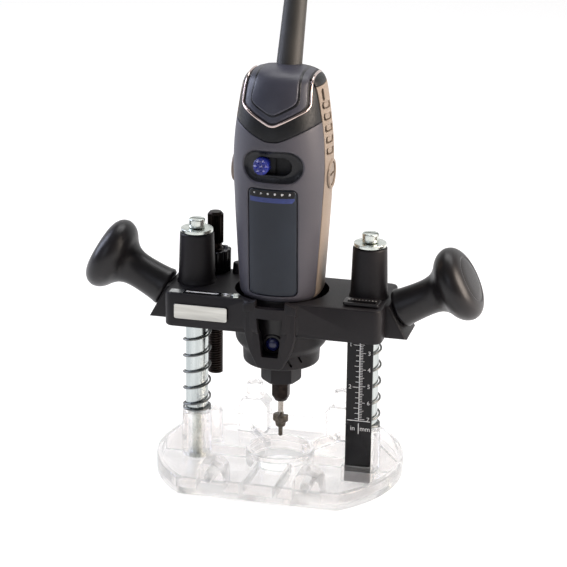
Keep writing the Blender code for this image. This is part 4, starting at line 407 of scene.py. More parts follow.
def block(low, high, edges=0.0, segments=2):
    """A box between two corners with all its edges rounded."""
    low, high = Vector(low), Vector(high)
    bm = bmesh.new()
    place = Matrix.Translation((low + high) / 2) @ Matrix.Diagonal((*(high - low), 1))
    bmesh.ops.create_cube(bm, size=1.0, matrix=place)
    if edges:
        bmesh.ops.bevel(bm, geom=bm.edges[:], offset=edges, segments=segments, **ROUND)
    return tidied(bm)


def bar(radius, start, end, sides=48, end_radius=None):
    """A round bar between two points, or a cone where its end has another radius."""
    start, end = Vector(start), Vector(end)
    bm = bmesh.new()
    turn = UP.rotation_difference(end - start).to_matrix().to_4x4()
    bmesh.ops.create_cone(
        bm,
        cap_ends=True,
        segments=sides,
        radius1=radius,
        radius2=radius if end_radius is None else end_radius,
        depth=(end - start).length,
        matrix=Matrix.Translation((start + end) / 2) @ turn,
    )
    return tidied(bm)


def arc(centre, radius, start, end, steps):
    """Points along an arc between two angles in degrees."""
    for i in range(steps + 1):
        angle = math.radians(start + (end - start) * i / steps)
        yield centre[0] + radius * math.cos(angle), centre[1] + radius * math.sin(angle)


def rounded(centre, width, height, radius, steps=6):
    """A rectangle with round corners."""
    x, y = width / 2 - radius, height / 2 - radius
    corners = ((x, y, 0), (-x, y, 90), (-x, -y, 180), (x, -y, 270))
    line = []
    for dx, dy, start in corners:
        line += arc((centre[0] + dx, centre[1] + dy), radius, start, start + 90, steps)
    return line


def wound(radius, wire, low, stages, lay):
    """Wire wound about Z from a height, in stages of (turns, rise), its ends closed."""
    bm = bmesh.new()
    stand = Matrix.Translation((radius, 0, low)) @ Matrix.Rotation(math.pi / 2, 4, "X")
    bmesh.ops.create_circle(bm, segments=10, radius=wire / 2, matrix=stand)
    drawn = bm.verts[:] + bm.edges[:]
    for turns, rise in stages:
        steps = round(turns * 36)
        climb = UP * rise / steps
        drawn = bmesh.ops.spin(
            bm, geom=drawn, axis=UP, cent=(0, 0, 0), dvec=climb, angle=2 * math.pi * turns, steps=steps
        )["geom_last"]
    bmesh.ops.holes_fill(bm, edges=open_edges(bm), sides=0)
    return tidied(bm, lay)


def threaded(radius, depth, pitch, low, high, lay=STILL, sides=28):
    """A bar with a rolled thread between two heights, cut from one turn laid on the next."""
    bm = bmesh.new()
    tooth = ((-depth, 0.0), (-depth, 0.14), (0.0, 0.42), (0.0, 0.58), (-depth, 0.86), (-depth, 1.0))
    start = low - 1.5 * pitch
    line = [bm.verts.new((radius + out, 0, start + rise * pitch)) for out, rise in tooth]
    edges = [bm.edges.new(pair) for pair in zip(line, line[1:])]
    turns = math.ceil((high - low) / pitch) + 3
    step = UP * pitch / sides
    bmesh.ops.spin(bm, geom=line + edges, axis=UP, cent=(0, 0, 0), dvec=step, angle=2 * math.pi, steps=sides)
    once = everything(bm)
    for turn in range(1, turns):
        again = bmesh.ops.duplicate(bm, geom=once)["geom"]
        bmesh.ops.translate(bm, vec=UP * pitch * turn, verts=verts_of(again))
    bmesh.ops.remove_doubles(bm, verts=bm.verts, dist=2e-6)
    for height, way in ((low, -1), (high, 1)):
        cut = {"plane_co": UP * height, "plane_no": UP * way}
        bmesh.ops.bisect_plane(bm, geom=everything(bm), clear_outer=True, **cut)
        bmesh.ops.remove_doubles(bm, verts=bm.verts, dist=1e-6)
    bmesh.ops.holes_fill(bm, edges=open_edges(bm), sides=0)
    return tidied(bm, lay)


# Clear base

def base_outline(inset):
    """A disc with its front and rear cut straight, drawn in by a distance."""
    radius, depth = BASE_RADIUS - inset, BASE_HALF_DEPTH - inset
    end = math.degrees(math.asin(depth / radius))
    right = arc((0, 0), radius, -end, end, 40)
    left = arc((0, 0), radius, 180 - end, 180 + end, 40)
    return eased([*right, *left], 1.5 * MM, closed=True, steps=2)


def base_forms():
    """What stands on the tray: eye, stop, scale foot, bosses, webs, ribs and posts."""
    root = FLOOR_ROOT
    eye = [(0, EYE_TOP), (EYE_OUTSIDE, EYE_TOP), (EYE_OUTSIDE, root), (0, root)]
    yield lathe(eased(eye, 0.8 * MM))
    yield turned([(0, 23.5), (4.6, 23.5), (5.0, 2), (0, 2)], 0.7 * MM, 40, AT_STOP)
    yield block(*mm([(40.8, -20.9, 2), (59.6, -16.1, 13)]), 0.5 * MM)
    for side, _ in SIDES:
        boss = [(0, BOSS_TOP), (BOSS_RADIUS, BOSS_TOP), (BOSS_RADIUS + 0.5 * MM, root), (0, root)]
        yield lathe(eased(boss, 0.8 * MM), 56, AT_COLUMN[side])
        near, far = side * COLUMN_X + side * 7.5 * MM, side * 70.6 * MM
        web = [(near, root), (far, root), (far, RIB_TOP), (near, 21 * MM)]
        yield slab(web, -RIB_HALF, RIB_HALF, "Y", 0.3 * MM)
        ends = sorted((side * RIB_START, side * 43.1 * MM))
        yield block((ends[0], -RIB_HALF, root), (ends[1], RIB_HALF, RIB_TOP), 0.3 * MM)
        ends = sorted((side * 8.5 * MM, side * 10.9 * MM))
        yield block((ends[0], -54 * MM, root), (ends[1], -16 * MM, RIB_TOP), 0.3 * MM)
        x, half = side * ROD_POST_X, ROD_POST_HALF
        arch = [(x - half, root), (x + half, root), *arc((x, ROD_BORE_Z), half, 0, 180, 24)]
        yield slab(arch, -54 * MM, -38 * MM, "Y", 0.6 * MM)
        x = side * REAR_POST_X
        post = [(-9.3, 2), (9.3, 2), (9.3, 20), (5.3, 24), (-5.3, 24), (-9.3, 20)]
        yield slab([(x + across * MM, z * MM) for across, z in post], 37.5 * MM, 52.5 * MM, "Y", 1.2 * MM)
        at = Matrix.Translation((x, REAR_POST_Y, 0))
        yield turned([(0, 33), (5, 33), (5, 20), (0, 20)], 0.8 * MM, 40, at)
        away = Vector((x, REAR_POST_FRONT)).normalized()
        across = Vector((-away.y, away.x)) * RIB_HALF
        start, end = away * RIB_START, away * REAR_POST_FRONT / away.y
        rib = [start - across, end - across, end + across, start + across]
        yield slab([tuple(point) for point in rib], root, RIB_TOP, ends=0.3 * MM)


def base_cuts():
    """The eye's stepped bore, the notch before it, the scale's slot and the bores for rods and bolts."""
    eye = [(0, -5), (15, -5), (15, 5.6), (16.2, 5.6), (16.2, 8.8), (17.4, 8.8), (17.4, 20), (0, 20)]
    yield lathe(mm(eye), 72)
    yield block(*mm([(-8.5, -28, 3), (8.5, 0, 9)]))
    yield block(*mm([(42.4, -19.3, 3), (58, -17.7, 18)]))
    for side, _ in SIDES:
        x = side * ROD_POST_X
        yield bar(3.2 * MM, (x, -60 * MM, ROD_BORE_Z), (x, -30 * MM, ROD_BORE_Z), 32)
        x = side * COLUMN_X
        yield bar(3.3 * MM, (x, 0, -5 * MM), (x, 0, 40 * MM), 32)
        yield bar(5.5 * MM, (x, 0, -5 * MM), (x, 0, 4.6 * MM), 40)


def base_plate():
    """Tray with everything on it, all in one clear moulding."""
    plate = slab(base_outline(0), 0, RIM_TOP, ends=0.9 * MM)
    tray = slab(base_outline(RIM_WALL), FLOOR, RIM_TOP + 5 * MM, ends=0.6 * MM)
    plate = carved(plate, "DIFFERENCE", tray)
    plate = carved(plate, "UNION", *base_forms())
    plate = carved(plate, "DIFFERENCE", *base_cuts())
    settle("clear_base", plate, CLEAR_ACRYLIC, "stand", ["base_plate"], 30)


# Columns, springs and scale

def slotted(form, x, top, deep):
    """A screwdriver slot across a head on a column's axis."""
    half, reach = 0.7 * MM, 8 * MM
    cut = block((x - reach, -half, top - deep), (x + reach, half, top + deep))
    return carved(form, "DIFFERENCE", cut)


def columns():
    """Each column with the bolt in its foot, and the washer and screw that stop the carriage at its top."""
    for side, word in SIDES:
        x, at = side * COLUMN_X, AT_COLUMN[side]
        low = BOSS_TOP + GAP
        line = [(0, COLUMN_TOP), (COLUMN_RADIUS, COLUMN_TOP), (COLUMN_RADIUS, low), (0, low)]
        piece = lathe(eased(line, 0.7 * MM), 72, at)
        settle(f"{word}_column", piece, ZINC, "stand", [f"{word}_guide_column"])
        line = [(0, 44), (3, 44), (3, 4.3), (5.2, 4.3), (5.2, 0.3), (0, 0.3)]
        bolt = slotted(turned(line, 0.4 * MM, 40, at), x, 0, 2 * MM)
        settle(f"{word}_foot_bolt", bolt, ZINC_TURNED, "stand", [f"{word}_column_bolt"])
        low = COLUMN_TOP + GAP
        outside, inside, top = 9.3 * MM, 2.8 * MM, low + 2 * MM
        line = [(outside, top), (outside, low), (inside, low), (inside, top)]
        washer = lathe(eased(line, 0.35 * MM, closed=True), 64, at)
        settle(f"{word}_washer", washer, ZINC_TURNED, "stand", [f"{word}_stop_washer"])
        low += 2 * MM + GAP
        head, shank, foot, top = 4.7 * MM, 2.5 * MM, 124 * MM, low + 5.2 * MM
        line = [(0, top), (head, top), (head, low), (shank, low), (shank, foot), (0, foot)]
        screw = slotted(lathe(eased(line, 0.8 * MM), 48, at), x, top, 1.8 * MM)
        settle(f"{word}_top_screw", screw, ZINC_TURNED, "stand", [f"{word}_stop_screw"])


def springs():
    """Plunge springs with close turns at both ends."""
    wire, low, high = 1.2 * MM, BOSS_TOP + GAP, ARM_BOTTOM - GAP
    rise = high - low - wire
    close = 1.5 * 1.7 * MM
    for side, word in SIDES:
        stages = ((1.5, close), (5.3, rise - 2 * close), (1.5, close))
        form = wound(7.75 * MM, wire, low + wire / 2, stages, AT_COLUMN[side])
        node = f"{word}_plunge_spring"
        piece = settle(f"{word}_spring", form, SPRING_WIRE, "stand", [node], CRISP_WIRE)
        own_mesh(piece)


def printed(text, size, x, z, y):
    """Figures as thin raised ink, seen from the front."""
    line = bpy.data.curves.new("figures", "FONT")
    line.body = text
    line.size = size
    line.align_x, line.align_y = "CENTER", "CENTER"
    line.extrude = 0.03 * MM
    line.resolution_u = 3
    work = bpy.data.objects.new("figures", line)
    SCENE.collection.objects.link(work)
    mesh = bpy.data.meshes.new_from_object(work.evaluated_get(bpy.context.evaluated_depsgraph_get()))
    bm = bmesh.new()
    bm.from_mesh(mesh)
    bpy.data.curves.remove(line)
    bpy.data.meshes.remove(mesh)
    return tidied(bm, Matrix.Translation((x, y, z)) @ Matrix.Rotation(math.pi / 2, 4, "X"))


def depth_scale():
    """Ruler in centimetres at the right and inches at the left of its middle line."""
    half, low = SCALE_WIDTH / 2, FLOOR + GAP
    front = SCALE_Y - 0.5 * MM
    plate = block((SCALE_X - half, front, low), (SCALE_X + half, SCALE_Y + 0.5 * MM, SCALE_TOP), 0.12 * MM)
    settle("scale_plate", plate, SCALE_LACQUER, "stand", ["depth_scale"])
    face, back = front - 0.05 * MM, front + 0.02 * MM

    def stroke(left, right, bottom, top):
        return block((SCALE_X + left, face, bottom), (SCALE_X + right, back, top))

    def tick(left, right, z, thick):
        return stroke(left, right, z - thick / 2, z + thick / 2)

    middle, figures = 0.25 * MM, 5.4 * MM
    ink = [stroke(-middle, middle, SCALE_FOOT, 109.5 * MM)]
    for i in range(3, 71):
        long = 3.4 if i % 10 == 0 else 2.6 if i % 5 == 0 else 1.8
        ink.append(tick(0.2 * MM, long * MM, SCALE_ZERO - i * MM, 0.28 * MM))
    for i in range(1, 23):
        long = 3.8 if i % 8 == 0 else 3.0 if i % 4 == 0 else 2.2
        ink.append(tick(-long * MM, -0.2 * MM, SCALE_ZERO - i * INCH / 8, 0.3 * MM))
    ink.append(tick(-6.6 * MM, 6.6 * MM, SCALE_FOOT, 0.45 * MM))
    ink.append(stroke(-middle, middle, 33 * MM, 39.5 * MM))
    for i in range(1, 8):
        ink.append(printed(str(i), 3.5 * MM, SCALE_X + figures, SCALE_ZERO - i * 10 * MM, face))
    for i in (1, 2):
        ink.append(printed(str(i), 3.5 * MM, SCALE_X - figures, SCALE_ZERO - i * INCH, face))
    ink.append(printed("in", 4.0 * MM, SCALE_X - 3.4 * MM, 36.2 * MM, face))
    ink.append(printed("mm", 4.0 * MM, SCALE_X + 3.8 * MM, 36.2 * MM, face))
    settle("scale_ink", grouped(*ink), WHITE_INK, "stand")
    # A thin pale grey sheet over the scale's lower end: painted reflection
    corners = (SCALE_X - half, front - 0.04 * MM, low), (SCALE_X + half, front + 0.1 * MM, 9.5 * MM)
    settle("scale_foot_reflection", block(*corners, 0.02 * MM), PAINTED_REFLECTION_GREY, "stand")


# Carriage

def handle_lay(side):
    """Stands a shape's Z along a handle, from where its neck meets the lug."""
    along = Vector((side * math.cos(HANDLE_RISE), 0, math.sin(HANDLE_RISE)))
    turn = UP.rotation_difference(along).to_matrix().to_4x4()
    return Matrix.Translation((side * HANDLE_FOOT[0], 0, HANDLE_FOOT[1])) @ turn


def collar():
    """Turned outside of the collar, from the arms down to the cup that the nose sits in."""
    line = [(0, 109.6), (31, 109.6), (31, 93), (27, 88), (26.4, 80.5), (22.3, 75.4), (21.9, 67), (0, 67)]
    return turned(line, 1.8 * MM, 96, steps=5)


def collar_bore():
    """Room for the tool's foot, the nose and its thread."""
    line = [
        (0, 115), (27, 115), (27, 93.4), (23.6, 90), (23.6, 78.7), (18.4, 75.3), (18.4, 70), (8.7, 70),
        (8.7, 62), (0, 62),
    ]
    return lathe(mm(line), 96)


def carriage_forms():
    """Everything that the carriage's moulding adds to its two arms."""
    shield = [(-14.6, 107.4), (-14.6, 89), (-12, 80.5), (-7, 70.4)]
    shield += [(-x, z) for x, z in shield[::-1]]
    outline = eased(mm(shield), 2.5 * MM, closed=True)
    yield slab(outline, -28.6 * MM, -19 * MM, "Y", 0.9 * MM)
    for side, _ in SIDES:
        horn = [(8.5, 104), (15.5, 104), (15.5, 108.4), (8.5, 110.8)]
        yield slab(mm((side * x, z) for x, z in horn), -29.6 * MM, -24 * MM, "Y", 0.7 * MM)
        lug = [(56, 90.2), (75.4, 90.2), (64.9, 109.8), (56, 109.8)]
        yield slab(mm((side * x, z) for x, z in lug), -14 * MM, 14 * MM, "Y", 1.6 * MM)
        tube = [(0, 139.4), (9.75, 139.4), (10.6, 112), (11.6, 109.7), (0, 109)]
        yield turned(tube, 1.0 * MM, 72, AT_COLUMN[side])
    boss = [(0, 109.8), (9.5, 109.8), (9.5, 90.2), (0, 90.2)]
    yield turned(boss, 1.0 * MM, 56, AT_STOP)
    clip_post = [(0, 116), (3.6, 116), (4.1, 109), (0, 109)]
    yield turned(clip_post, 1.0 * MM, 40, Matrix.Translation((CLIP_X, CLIP_Y, 0)))


def carriage_cuts():
    """Bores, ways and openings through the carriage."""
    yield collar_bore()
    window = [(-4.8, 77.5), (4.8, 77.5), (7.6, 101), (-7.6, 101)]
    outline = eased(mm(window), 0.8 * MM, closed=True)
    yield slab(outline, -36 * MM, -20.6 * MM, "Y")
    yield block(*mm([(-8.5, -36, 107), (8.5, -5, 115)]))
    half, deep = SCALE_WIDTH / 2 + 2 * GAP, 0.5 * MM + 2 * GAP
    yield block((SCALE_X - half, SCALE_Y - deep, 85 * MM), (SCALE_X + half, SCALE_Y + deep, 115 * MM))
    yield bar(4.9 * MM, (STOP_X, STOP_Y, 85 * MM), (STOP_X, STOP_Y, 115 * MM))
    yield bar(1.1 * MM, (CLIP_X, CLIP_Y, 111 * MM), (CLIP_X, CLIP_Y, 120 * MM), 24)
    for side, _ in SIDES:
        bore = [(0, 145), (8.35, 145), (8.35, 93), (7.1, 93), (7.1, 85), (0, 85)]
        yield lathe(mm(bore), 72, AT_COLUMN[side])
        lay = handle_lay(side)
        yield bar(4.1 * MM, lay @ Vector((0, 0, -14.5 * MM)), lay @ Vector((0, 0, 8 * MM)), 32)
    for turn, height in ((26, 71.6), (42, 73.6)):
        lay = Matrix.Rotation(math.radians(turn), 4, "Z") @ Matrix.Translation((0, -22 * MM, height * MM))
        lay = lay @ Matrix.Rotation(math.radians(-32), 4, "Y")
        yield slab(rounded((0, 0), 1.2 * MM, 5 * MM, 0.5 * MM), -3 * MM, 3 * MM, "Y", lay=lay)


def carriage():
    """Two arms and the collar between them, in one moulding."""
    outline = rounded((0, 0), 2 * ARM_HALF_LENGTH, 2 * ARM_HALF_DEPTH, 5 * MM, 8)
    arms = slab(outline, ARM_BOTTOM, ARM_TOP, ends=1.1 * MM)
    whole = carved(arms, "UNION", collar(), *carriage_forms())
    whole = carved(whole, "DIFFERENCE", *carriage_cuts())
    settle("carriage", whole, BLACK_NYLON, "carriage", ["carriage_frame"])


def badge():
    """Bare plate on the front of the left arm, dished inside a narrow rim."""
    outline = rounded((-41 * MM, 99.8 * MM), 31 * MM, 8.6 * MM, 1.2 * MM)
    bm = slab(outline, -27.1 * MM, -26.3 * MM, "Y", 0.2 * MM)
    face = min(bm.faces, key=lambda f: f.calc_center_median().y)
    bmesh.ops.inset_region(bm, faces=[face], thickness=0.5 * MM, depth=-0.15 * MM)
    settle("badge", tidied(bm), BADGE_METAL, "carriage", ["badge_plate"])


def arm_decal():
    """Gloss film on the left arm with a silver end, a plain stripe, an arrow and a bolt beside it."""
    low, high = ARM_TOP - 0.05 * MM, ARM_TOP + 0.12 * MM
    film = slab(rounded((-42.5 * MM, FILM_Y), 36 * MM, 6.6 * MM, 0.8 * MM), low, high)
    settle("arm_film", film, DECAL_FILM, "carriage")
    top = high + 0.06 * MM
    foil = slab(rounded((-56 * MM, FILM_Y), 8 * MM, 5.4 * MM, 0.6 * MM), low, top)
    settle("arm_foil", foil, FOIL, "carriage")
    stripe = [(-51, -20.4), (-31.5, -20.4), (-33, -22), (-51, -22)]
    arrow = [
        (-28.2, -23), (-26.8, -23), (-26.8, -20.4), (-25.6, -20.4), (-28.2, -18.6), (-30.4, -20.4),
        (-28.2, -20.4),
    ]
    ink = grouped(*(slab(mm(outline), low, top) for outline in (stripe, arrow)))
    settle("arm_ink", ink, WHITE_INK, "carriage")
    outline = [*arc((-21.2 * MM, -22.6 * MM), 2.7 * MM, 10, 310, 5)]
    bolt = slab(outline, ARM_TOP - 0.2 * MM, ARM_TOP + 1.3 * MM, ends=0.25 * MM)
    settle("arm_bolt", bolt, ZINC_TURNED, "carriage")


def scale_pointer():
    """Frame round the scale on the right arm, with a row of reading dots along its front edge."""
    low, high = ARM_TOP + GAP, ARM_TOP + GAP + 2 * MM
    y, half = SCALE_Y + 2 * MM, 10.25 * MM
    form = slab(rounded((SCALE_X, y), 2 * half, 10 * MM, 1.4 * MM), low, high, ends=0.5 * MM)
    wide, deep = SCALE_WIDTH / 2 + 2 * GAP, 0.5 * MM + 2 * GAP
    slot = block((SCALE_X - wide, SCALE_Y - deep, low - MM), (SCALE_X + wide, SCALE_Y + deep, high + MM))
    form = carved(form, "DIFFERENCE", slot)
    settle("scale_pointer_frame", form, GRIP_NYLON, "carriage", ["scale_pointer"])
    dots, y = [], SCALE_Y + 3.4 * MM
    for i in range(9):
        x = SCALE_X + (i - 4) * 1.9 * MM
        dots.append(bar(0.42 * MM, (x, y, high - 0.1 * MM), (x, y, high + 0.06 * MM), 12))
    settle("pointer_dots", grouped(*dots), WHITE_INK, "carriage")


def handle(side, name, body, node):
    """Mushroom knob on a flared neck, with a shallow dished ring on its end and a bore for the stud."""
    crown = [
        (10.4, 0.3), (11.3, 1.8), (10.7, 5), (10.2, 12), (10.1, 18), (10.6, 22.5), (12.0, 26), (14.6, 28.9),
        (17.8, 31.3), (20.3, 34.3), (21.5, 38.0), (20.9, 41.2), (19.2, 43.6), (16.6, 45.3), (14.2, 46.1),
    ]
    bore = [(0, 16.3), (4.1, 16.3), (4.1, 0.3)]
    end = [(13.6, 46.05), (13.0, 45.8), (12.4, 46.1), (8, 46.6), (0, 46.75)]
    form = lathe(mm([*bore, *flowing(crown, 4), *end]), 96, handle_lay(side))
    settle(name, form, GRIP_NYLON, body, [node])


# Depth stop

def stop_rod():
    """Rolled thread below and a fluted head above, joined by a narrower neck."""
    rod = threaded(4.6 * MM, 0.6 * MM, 1.5 * MM, 47 * MM, 124.4 * MM, AT_STOP)
    neck = bar(3.8 * MM, (STOP_X, STOP_Y, 124 * MM), (STOP_X, STOP_Y, 128 * MM))
    flutes = 30
    outline = []
    for i in range(2 * flutes):
        angle = math.pi * i / flutes
        radius = (4.65 if i % 2 else 4.2) * MM
        outline.append((STOP_X + radius * math.cos(angle), STOP_Y + radius * math.sin(angle)))
    head = slab(outline, 127 * MM, 144.6 * MM, ends=0.3 * MM, segments=2)
    crown = [(0, 146), (3.4, 145.8), (4.2, 144.9), (4.3, 143.6), (0, 143.6)]
    crown = lathe(mm(crown), 40, AT_STOP)
    form = carved(rod, "UNION", neck, head, crown)
    settle("depth_rod", form, BLACK_OXIDE, "stop_rod", ["depth_stop_rod"], 30)


def stop_nut():
    """Ribbed nut with deep finger grooves and a chamfered crown."""
    low, high = ARM_TOP + GAP, ARM_TOP + GAP + 13 * MM
    ribs, corners = 12, []
    for i in range(ribs):
        for turn, radius in ((-8.5, 9.4), (8.5, 9.4), (11.5, 8.3), (18.5, 8.3)):
            angle, radius = math.radians(360 * i / ribs + turn), radius * MM
            corners.append((STOP_X + radius * math.cos(angle), STOP_Y + radius * math.sin(angle)))
    form = slab(eased(corners, 0.4 * MM, closed=True, steps=2), low, high, ends=0.6 * MM)
    reach, above, sunk = 7.2 * MM, high + 0.1 * MM, high - 1.2 * MM
    dish = lathe([(0, above), (reach, above), (reach, sunk), (0, sunk)], 56, AT_STOP)
    bore = bar(4.9 * MM, (STOP_X, STOP_Y, low - MM), (STOP_X, STOP_Y, high + MM))
    form = carved(form, "DIFFERENCE", dish, bore)
    settle("depth_nut", form, SCALE_LACQUER, "stop_nut", ["depth_stop_nut"])


# Nose, lock button and spindle

Y_UP = Matrix.Rotation(-math.pi / 2, 4, "X")
LOCK_LAY = Matrix.Translation((0, 0, LOCK_Z)) @ Y_UP


def hexagon(across, low, high, turn, ends):
    """A hexagon bar of this size across its flats."""
    line = arc((0, 0), across / math.sqrt(3), turn, turn + 300, 5)
    return slab([*line], low, high, ends=ends)


def nose():
    """The tool's stepped nose, hollow for the spindle, with a way for the lock button."""
    line = [
        (18.55, 112.6), (18.55, 108.7), (21.8, 108.7), (21.8, 105.7), (20.6, 90), (20.6, 77.6), (17.8, 75),
        (17.8, 70.3), (8.4, 70.3), (8.4, 55.5), (4.6, 55.5), (4.6, 89.7), (11.3, 89.7), (11.3, 97.6),
        (16.85, 98.2), (16.85, 112.6),
    ]
    form = turned(line, 0.5 * MM, 96, closed=True)
    way = bar(4.3 * MM, (0, -30 * MM, LOCK_Z), (0, -7.8 * MM, LOCK_Z), 48)
    pin = bar(1.8 * MM, (0, -30 * MM, LOCK_Z), (0, 0, LOCK_Z), 24)
    rim = [(0, -22), (5.4, -21.2), (6.2, -20.2), (6.2, -18), (0, -18)]
    form = carved(form, "UNION", lathe(mm(rim), 56, LOCK_LAY))
    form = carved(form, "DIFFERENCE", way, pin)
    settle("nose", form, GRIP_NYLON, "carriage", ["nose_piece"])


def lock_button():
    """Domed button on its pin, and the coil behind it."""
    line = [
        (0, -6.9), (1.5, -6.9), (1.5, -16), (4, -16), (4, -21.2), (3.7, -22), (2.8, -22.6), (1.5, -22.95),
        (0, -23.1),
    ]
    form = lathe(mm(line), 48, LOCK_LAY)
    settle("lock_button", form, NAVY_ABS, "lock_button", ["spindle_lock_button"])
    coil = wound(3.35 * MM, 0.7 * MM, -15.35 * MM, ((3.5, 6.9 * MM),), LOCK_LAY)
    nodes = ["lock_button_spring"]
    piece = settle("lock_spring", coil, SPRING_WIRE, "carriage", nodes, CRISP_WIRE)
    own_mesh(piece)


def clamp_nut():
    """Hexagon nut that holds the tool in the carriage, its lower corners turned off."""
    form = hexagon(20.2 * MM, 54.5 * MM, 66.7 * MM, 13.7, 0.25 * MM)
    cone = [(0, 67.7), (13, 67.7), (13, 56.9), (10.4, 54.3), (0, 54.3)]
    form = carved(form, "INTERSECT", lathe(mm(cone), 96))
    bore = bar(8.7 * MM, (0, 0, 53.5 * MM), (0, 0, 67.7 * MM), 64)
    form = carved(form, "DIFFERENCE", bore)
    settle("clamp_nut_hex", form, BLACK_NYLON, "carriage", ["clamp_nut"], 25)


def collet_nut():
    """Hexagon nut with a coned end, bored for the collet and the cutter's shank."""
    form = hexagon(9.4 * MM, 41.6 * MM, 53.6 * MM, 29, 0.15 * MM)
    cone = [(0, 54.6), (4.9, 54.6), (5.6, 52.8), (5.6, 45), (5.0, 44.2), (3.4, 41.4), (0, 41.4)]
    form = carved(form, "INTERSECT", lathe(mm(cone), 64))
    inside = [(0, 60), (3.75, 60), (3.75, 42.7), (2.2, 42.7), (2.2, 35), (0, 35)]
    form = carved(form, "DIFFERENCE", lathe(mm(inside), 40))
    settle("collet_nut_hex", form, BLACK_OXIDE, "spindle", ["collet_nut"], 25)


def cutter():
    """Pale shank and a heat-darkened head with two wings and a pilot."""
    line = [(0, 61), (1.6, 61), (1.6, 34.2), (1.2, 33), (1.2, 31), (0, 31)]
    shank = turned(line, 0.2 * MM, 40)
    settle("cutter_shank", shank, TOOL_STEEL, "spindle", ["cutter_bit"])
    line = [
        (0, 32.4), (4.3, 32.3), (4.5, 31.9), (4.5, 28.6), (3.2, 27.7), (2.8, 25.4), (1.3, 24.5), (1.25, 19.5),
        (0.7, 18.9), (0, 18.9),
    ]
    flutes = [block(*mm(corners)) for corners in (
        ((0.9, 1.0, 25), (6, 6, 34)), ((-6, -6, 25), (-0.9, -1.0, 34)),
    )]
    head = carved(lathe(mm(line), 48), "DIFFERENCE", *flutes)
    settle("cutter_head", head, CUTTER_STEEL, "spindle", sharp=30)


# Tool body

def easing(t):
    """A soft step from 0 to 1."""
    t = min(max(t, 0.0), 1.0)
    return t * t * (3 - 2 * t)


def view_lay(across, rise, at=(0, 0, 0)):
    """A view's frame: its X across, its Y up and its Z towards the viewer."""
    across, rise = Vector(across), Vector(rise)
    turn = Matrix((across, rise, across.cross(rise))).transposed().to_4x4()
    return Matrix.Translation(at) @ turn


FROM_FRONT = view_lay((1, 0, 0), (0, 0, 1))
FROM_REAR = view_lay((-1, 0, 0), (0, 0, 1))
FROM_ABOVE = view_lay((1, 0, 0), (0, 1, 0))
FROM_SIDES = {1: view_lay((0, 1, 0), (0, 0, 1)), -1: view_lay((0, -1, 0), (0, 0, 1))}
RELIEF_LAY = Matrix.Translation(RELIEF_FOOT) @ Matrix.Rotation(-RELIEF_TILT, 4, "X")
RELIEF_HOLE = [*arc((0, 0), 7.5 * MM, 0, 350, 35)], RELIEF_LAY
VENT_TURN = Matrix.Rotation(math.radians(-7), 2)
RINGS = mm(flowing(STATIONS, 4))


def bridged(bm, below, ring):
    """Joins a ring to the one below it and gives its edges."""
    edges = list({edge for vert in ring for edge in vert.link_edges})
    if below:
        bmesh.ops.bridge_loops(bm, edges=below + edges)
    return edges


def body_skin():
    """The housing's whole surface: squared-off rings, bridged, that remember which way is out."""
    bm = bmesh.new()
    below = []
    for z, half, front, rear in RINGS:
        ring = bmesh.ops.create_circle(bm, segments=BODY_SIDES, radius=1.0)["verts"]
        for vert in ring:
            x, y = (math.copysign(abs(side) ** (2 / SQUARENESS), side) for side in vert.co[:2])
            vert.co = half * x, y * (rear if y > 0 else front), z
        below = bridged(bm, below, ring)
    bmesh.ops.pointmerge(bm, verts=ring, merge_co=(0, 0, RINGS[-1][0]))
    bmesh.ops.recalc_face_normals(bm, faces=bm.faces)
    foremost = min(bm.faces, key=lambda face: face.calc_center_median().y)
    if foremost.normal.y > 0:
        bmesh.ops.reverse_faces(bm, faces=bm.faces)
    bm.normal_update()
    out = bm.verts.layers.float_vector.new("out")
    for vert in bm.verts:
        vert[out] = vert.normal
    return bm


SKIN = body_skin()
SKIN_TREE = BVHTree.FromBMesh(SKIN)


def skin_at(lay, across, rise):
    """Where the housing's skin is at this place in a view, and which way it faces there."""
    far = lay @ Vector((across, rise, 1.0))
    return SKIN_TREE.ray_cast(far, -lay.to_3x3().col[2])[:2]


def sliced(bm, place, way, lip):
    """Clears what lies beyond a plane, with a line a lip's width before it."""
    for back in (lip, 0):
        cut = {"plane_co": Vector(place) - Vector(way) * back, "plane_no": way, "clear_outer": not back}
        bmesh.ops.bisect_plane(bm, geom=everything(bm), dist=1e-7, **cut)
    return bm


def seamed(lip, outset=0.0, way=1):
    """The housing's surface, set out by a distance: all (0), before its seam (1) or behind it (-1)."""
    bm = SKIN.copy()
    out = bm.verts.layers.float_vector["out"]
    for vert in bm.verts:
        vert.co += vert[out] * (outset(vert.co.z) if callable(outset) else outset)
    return sliced(bm, (0, SEAM_Y - way * SEAM_GAP / 2, 0), (0, way, 0), lip) if way else bm


def outward(start, end):
    """The direction out of a counter-clockwise outline along one of its edges."""
    return Vector((end.y - start.y, start.x - end.x)).normalized()


def grown(outline, by):
    """A convex outline moved outwards by a distance."""
    points = [Vector(point) for point in outline]
    line = []
    for before, here, after in zip(points[-1:] + points[:-1], points, points[1:] + points[:1]):
        first, second = outward(before, here), outward(here, after)
        line.append(here + (first + second) * by / (1 + first.dot(second)))
    return line


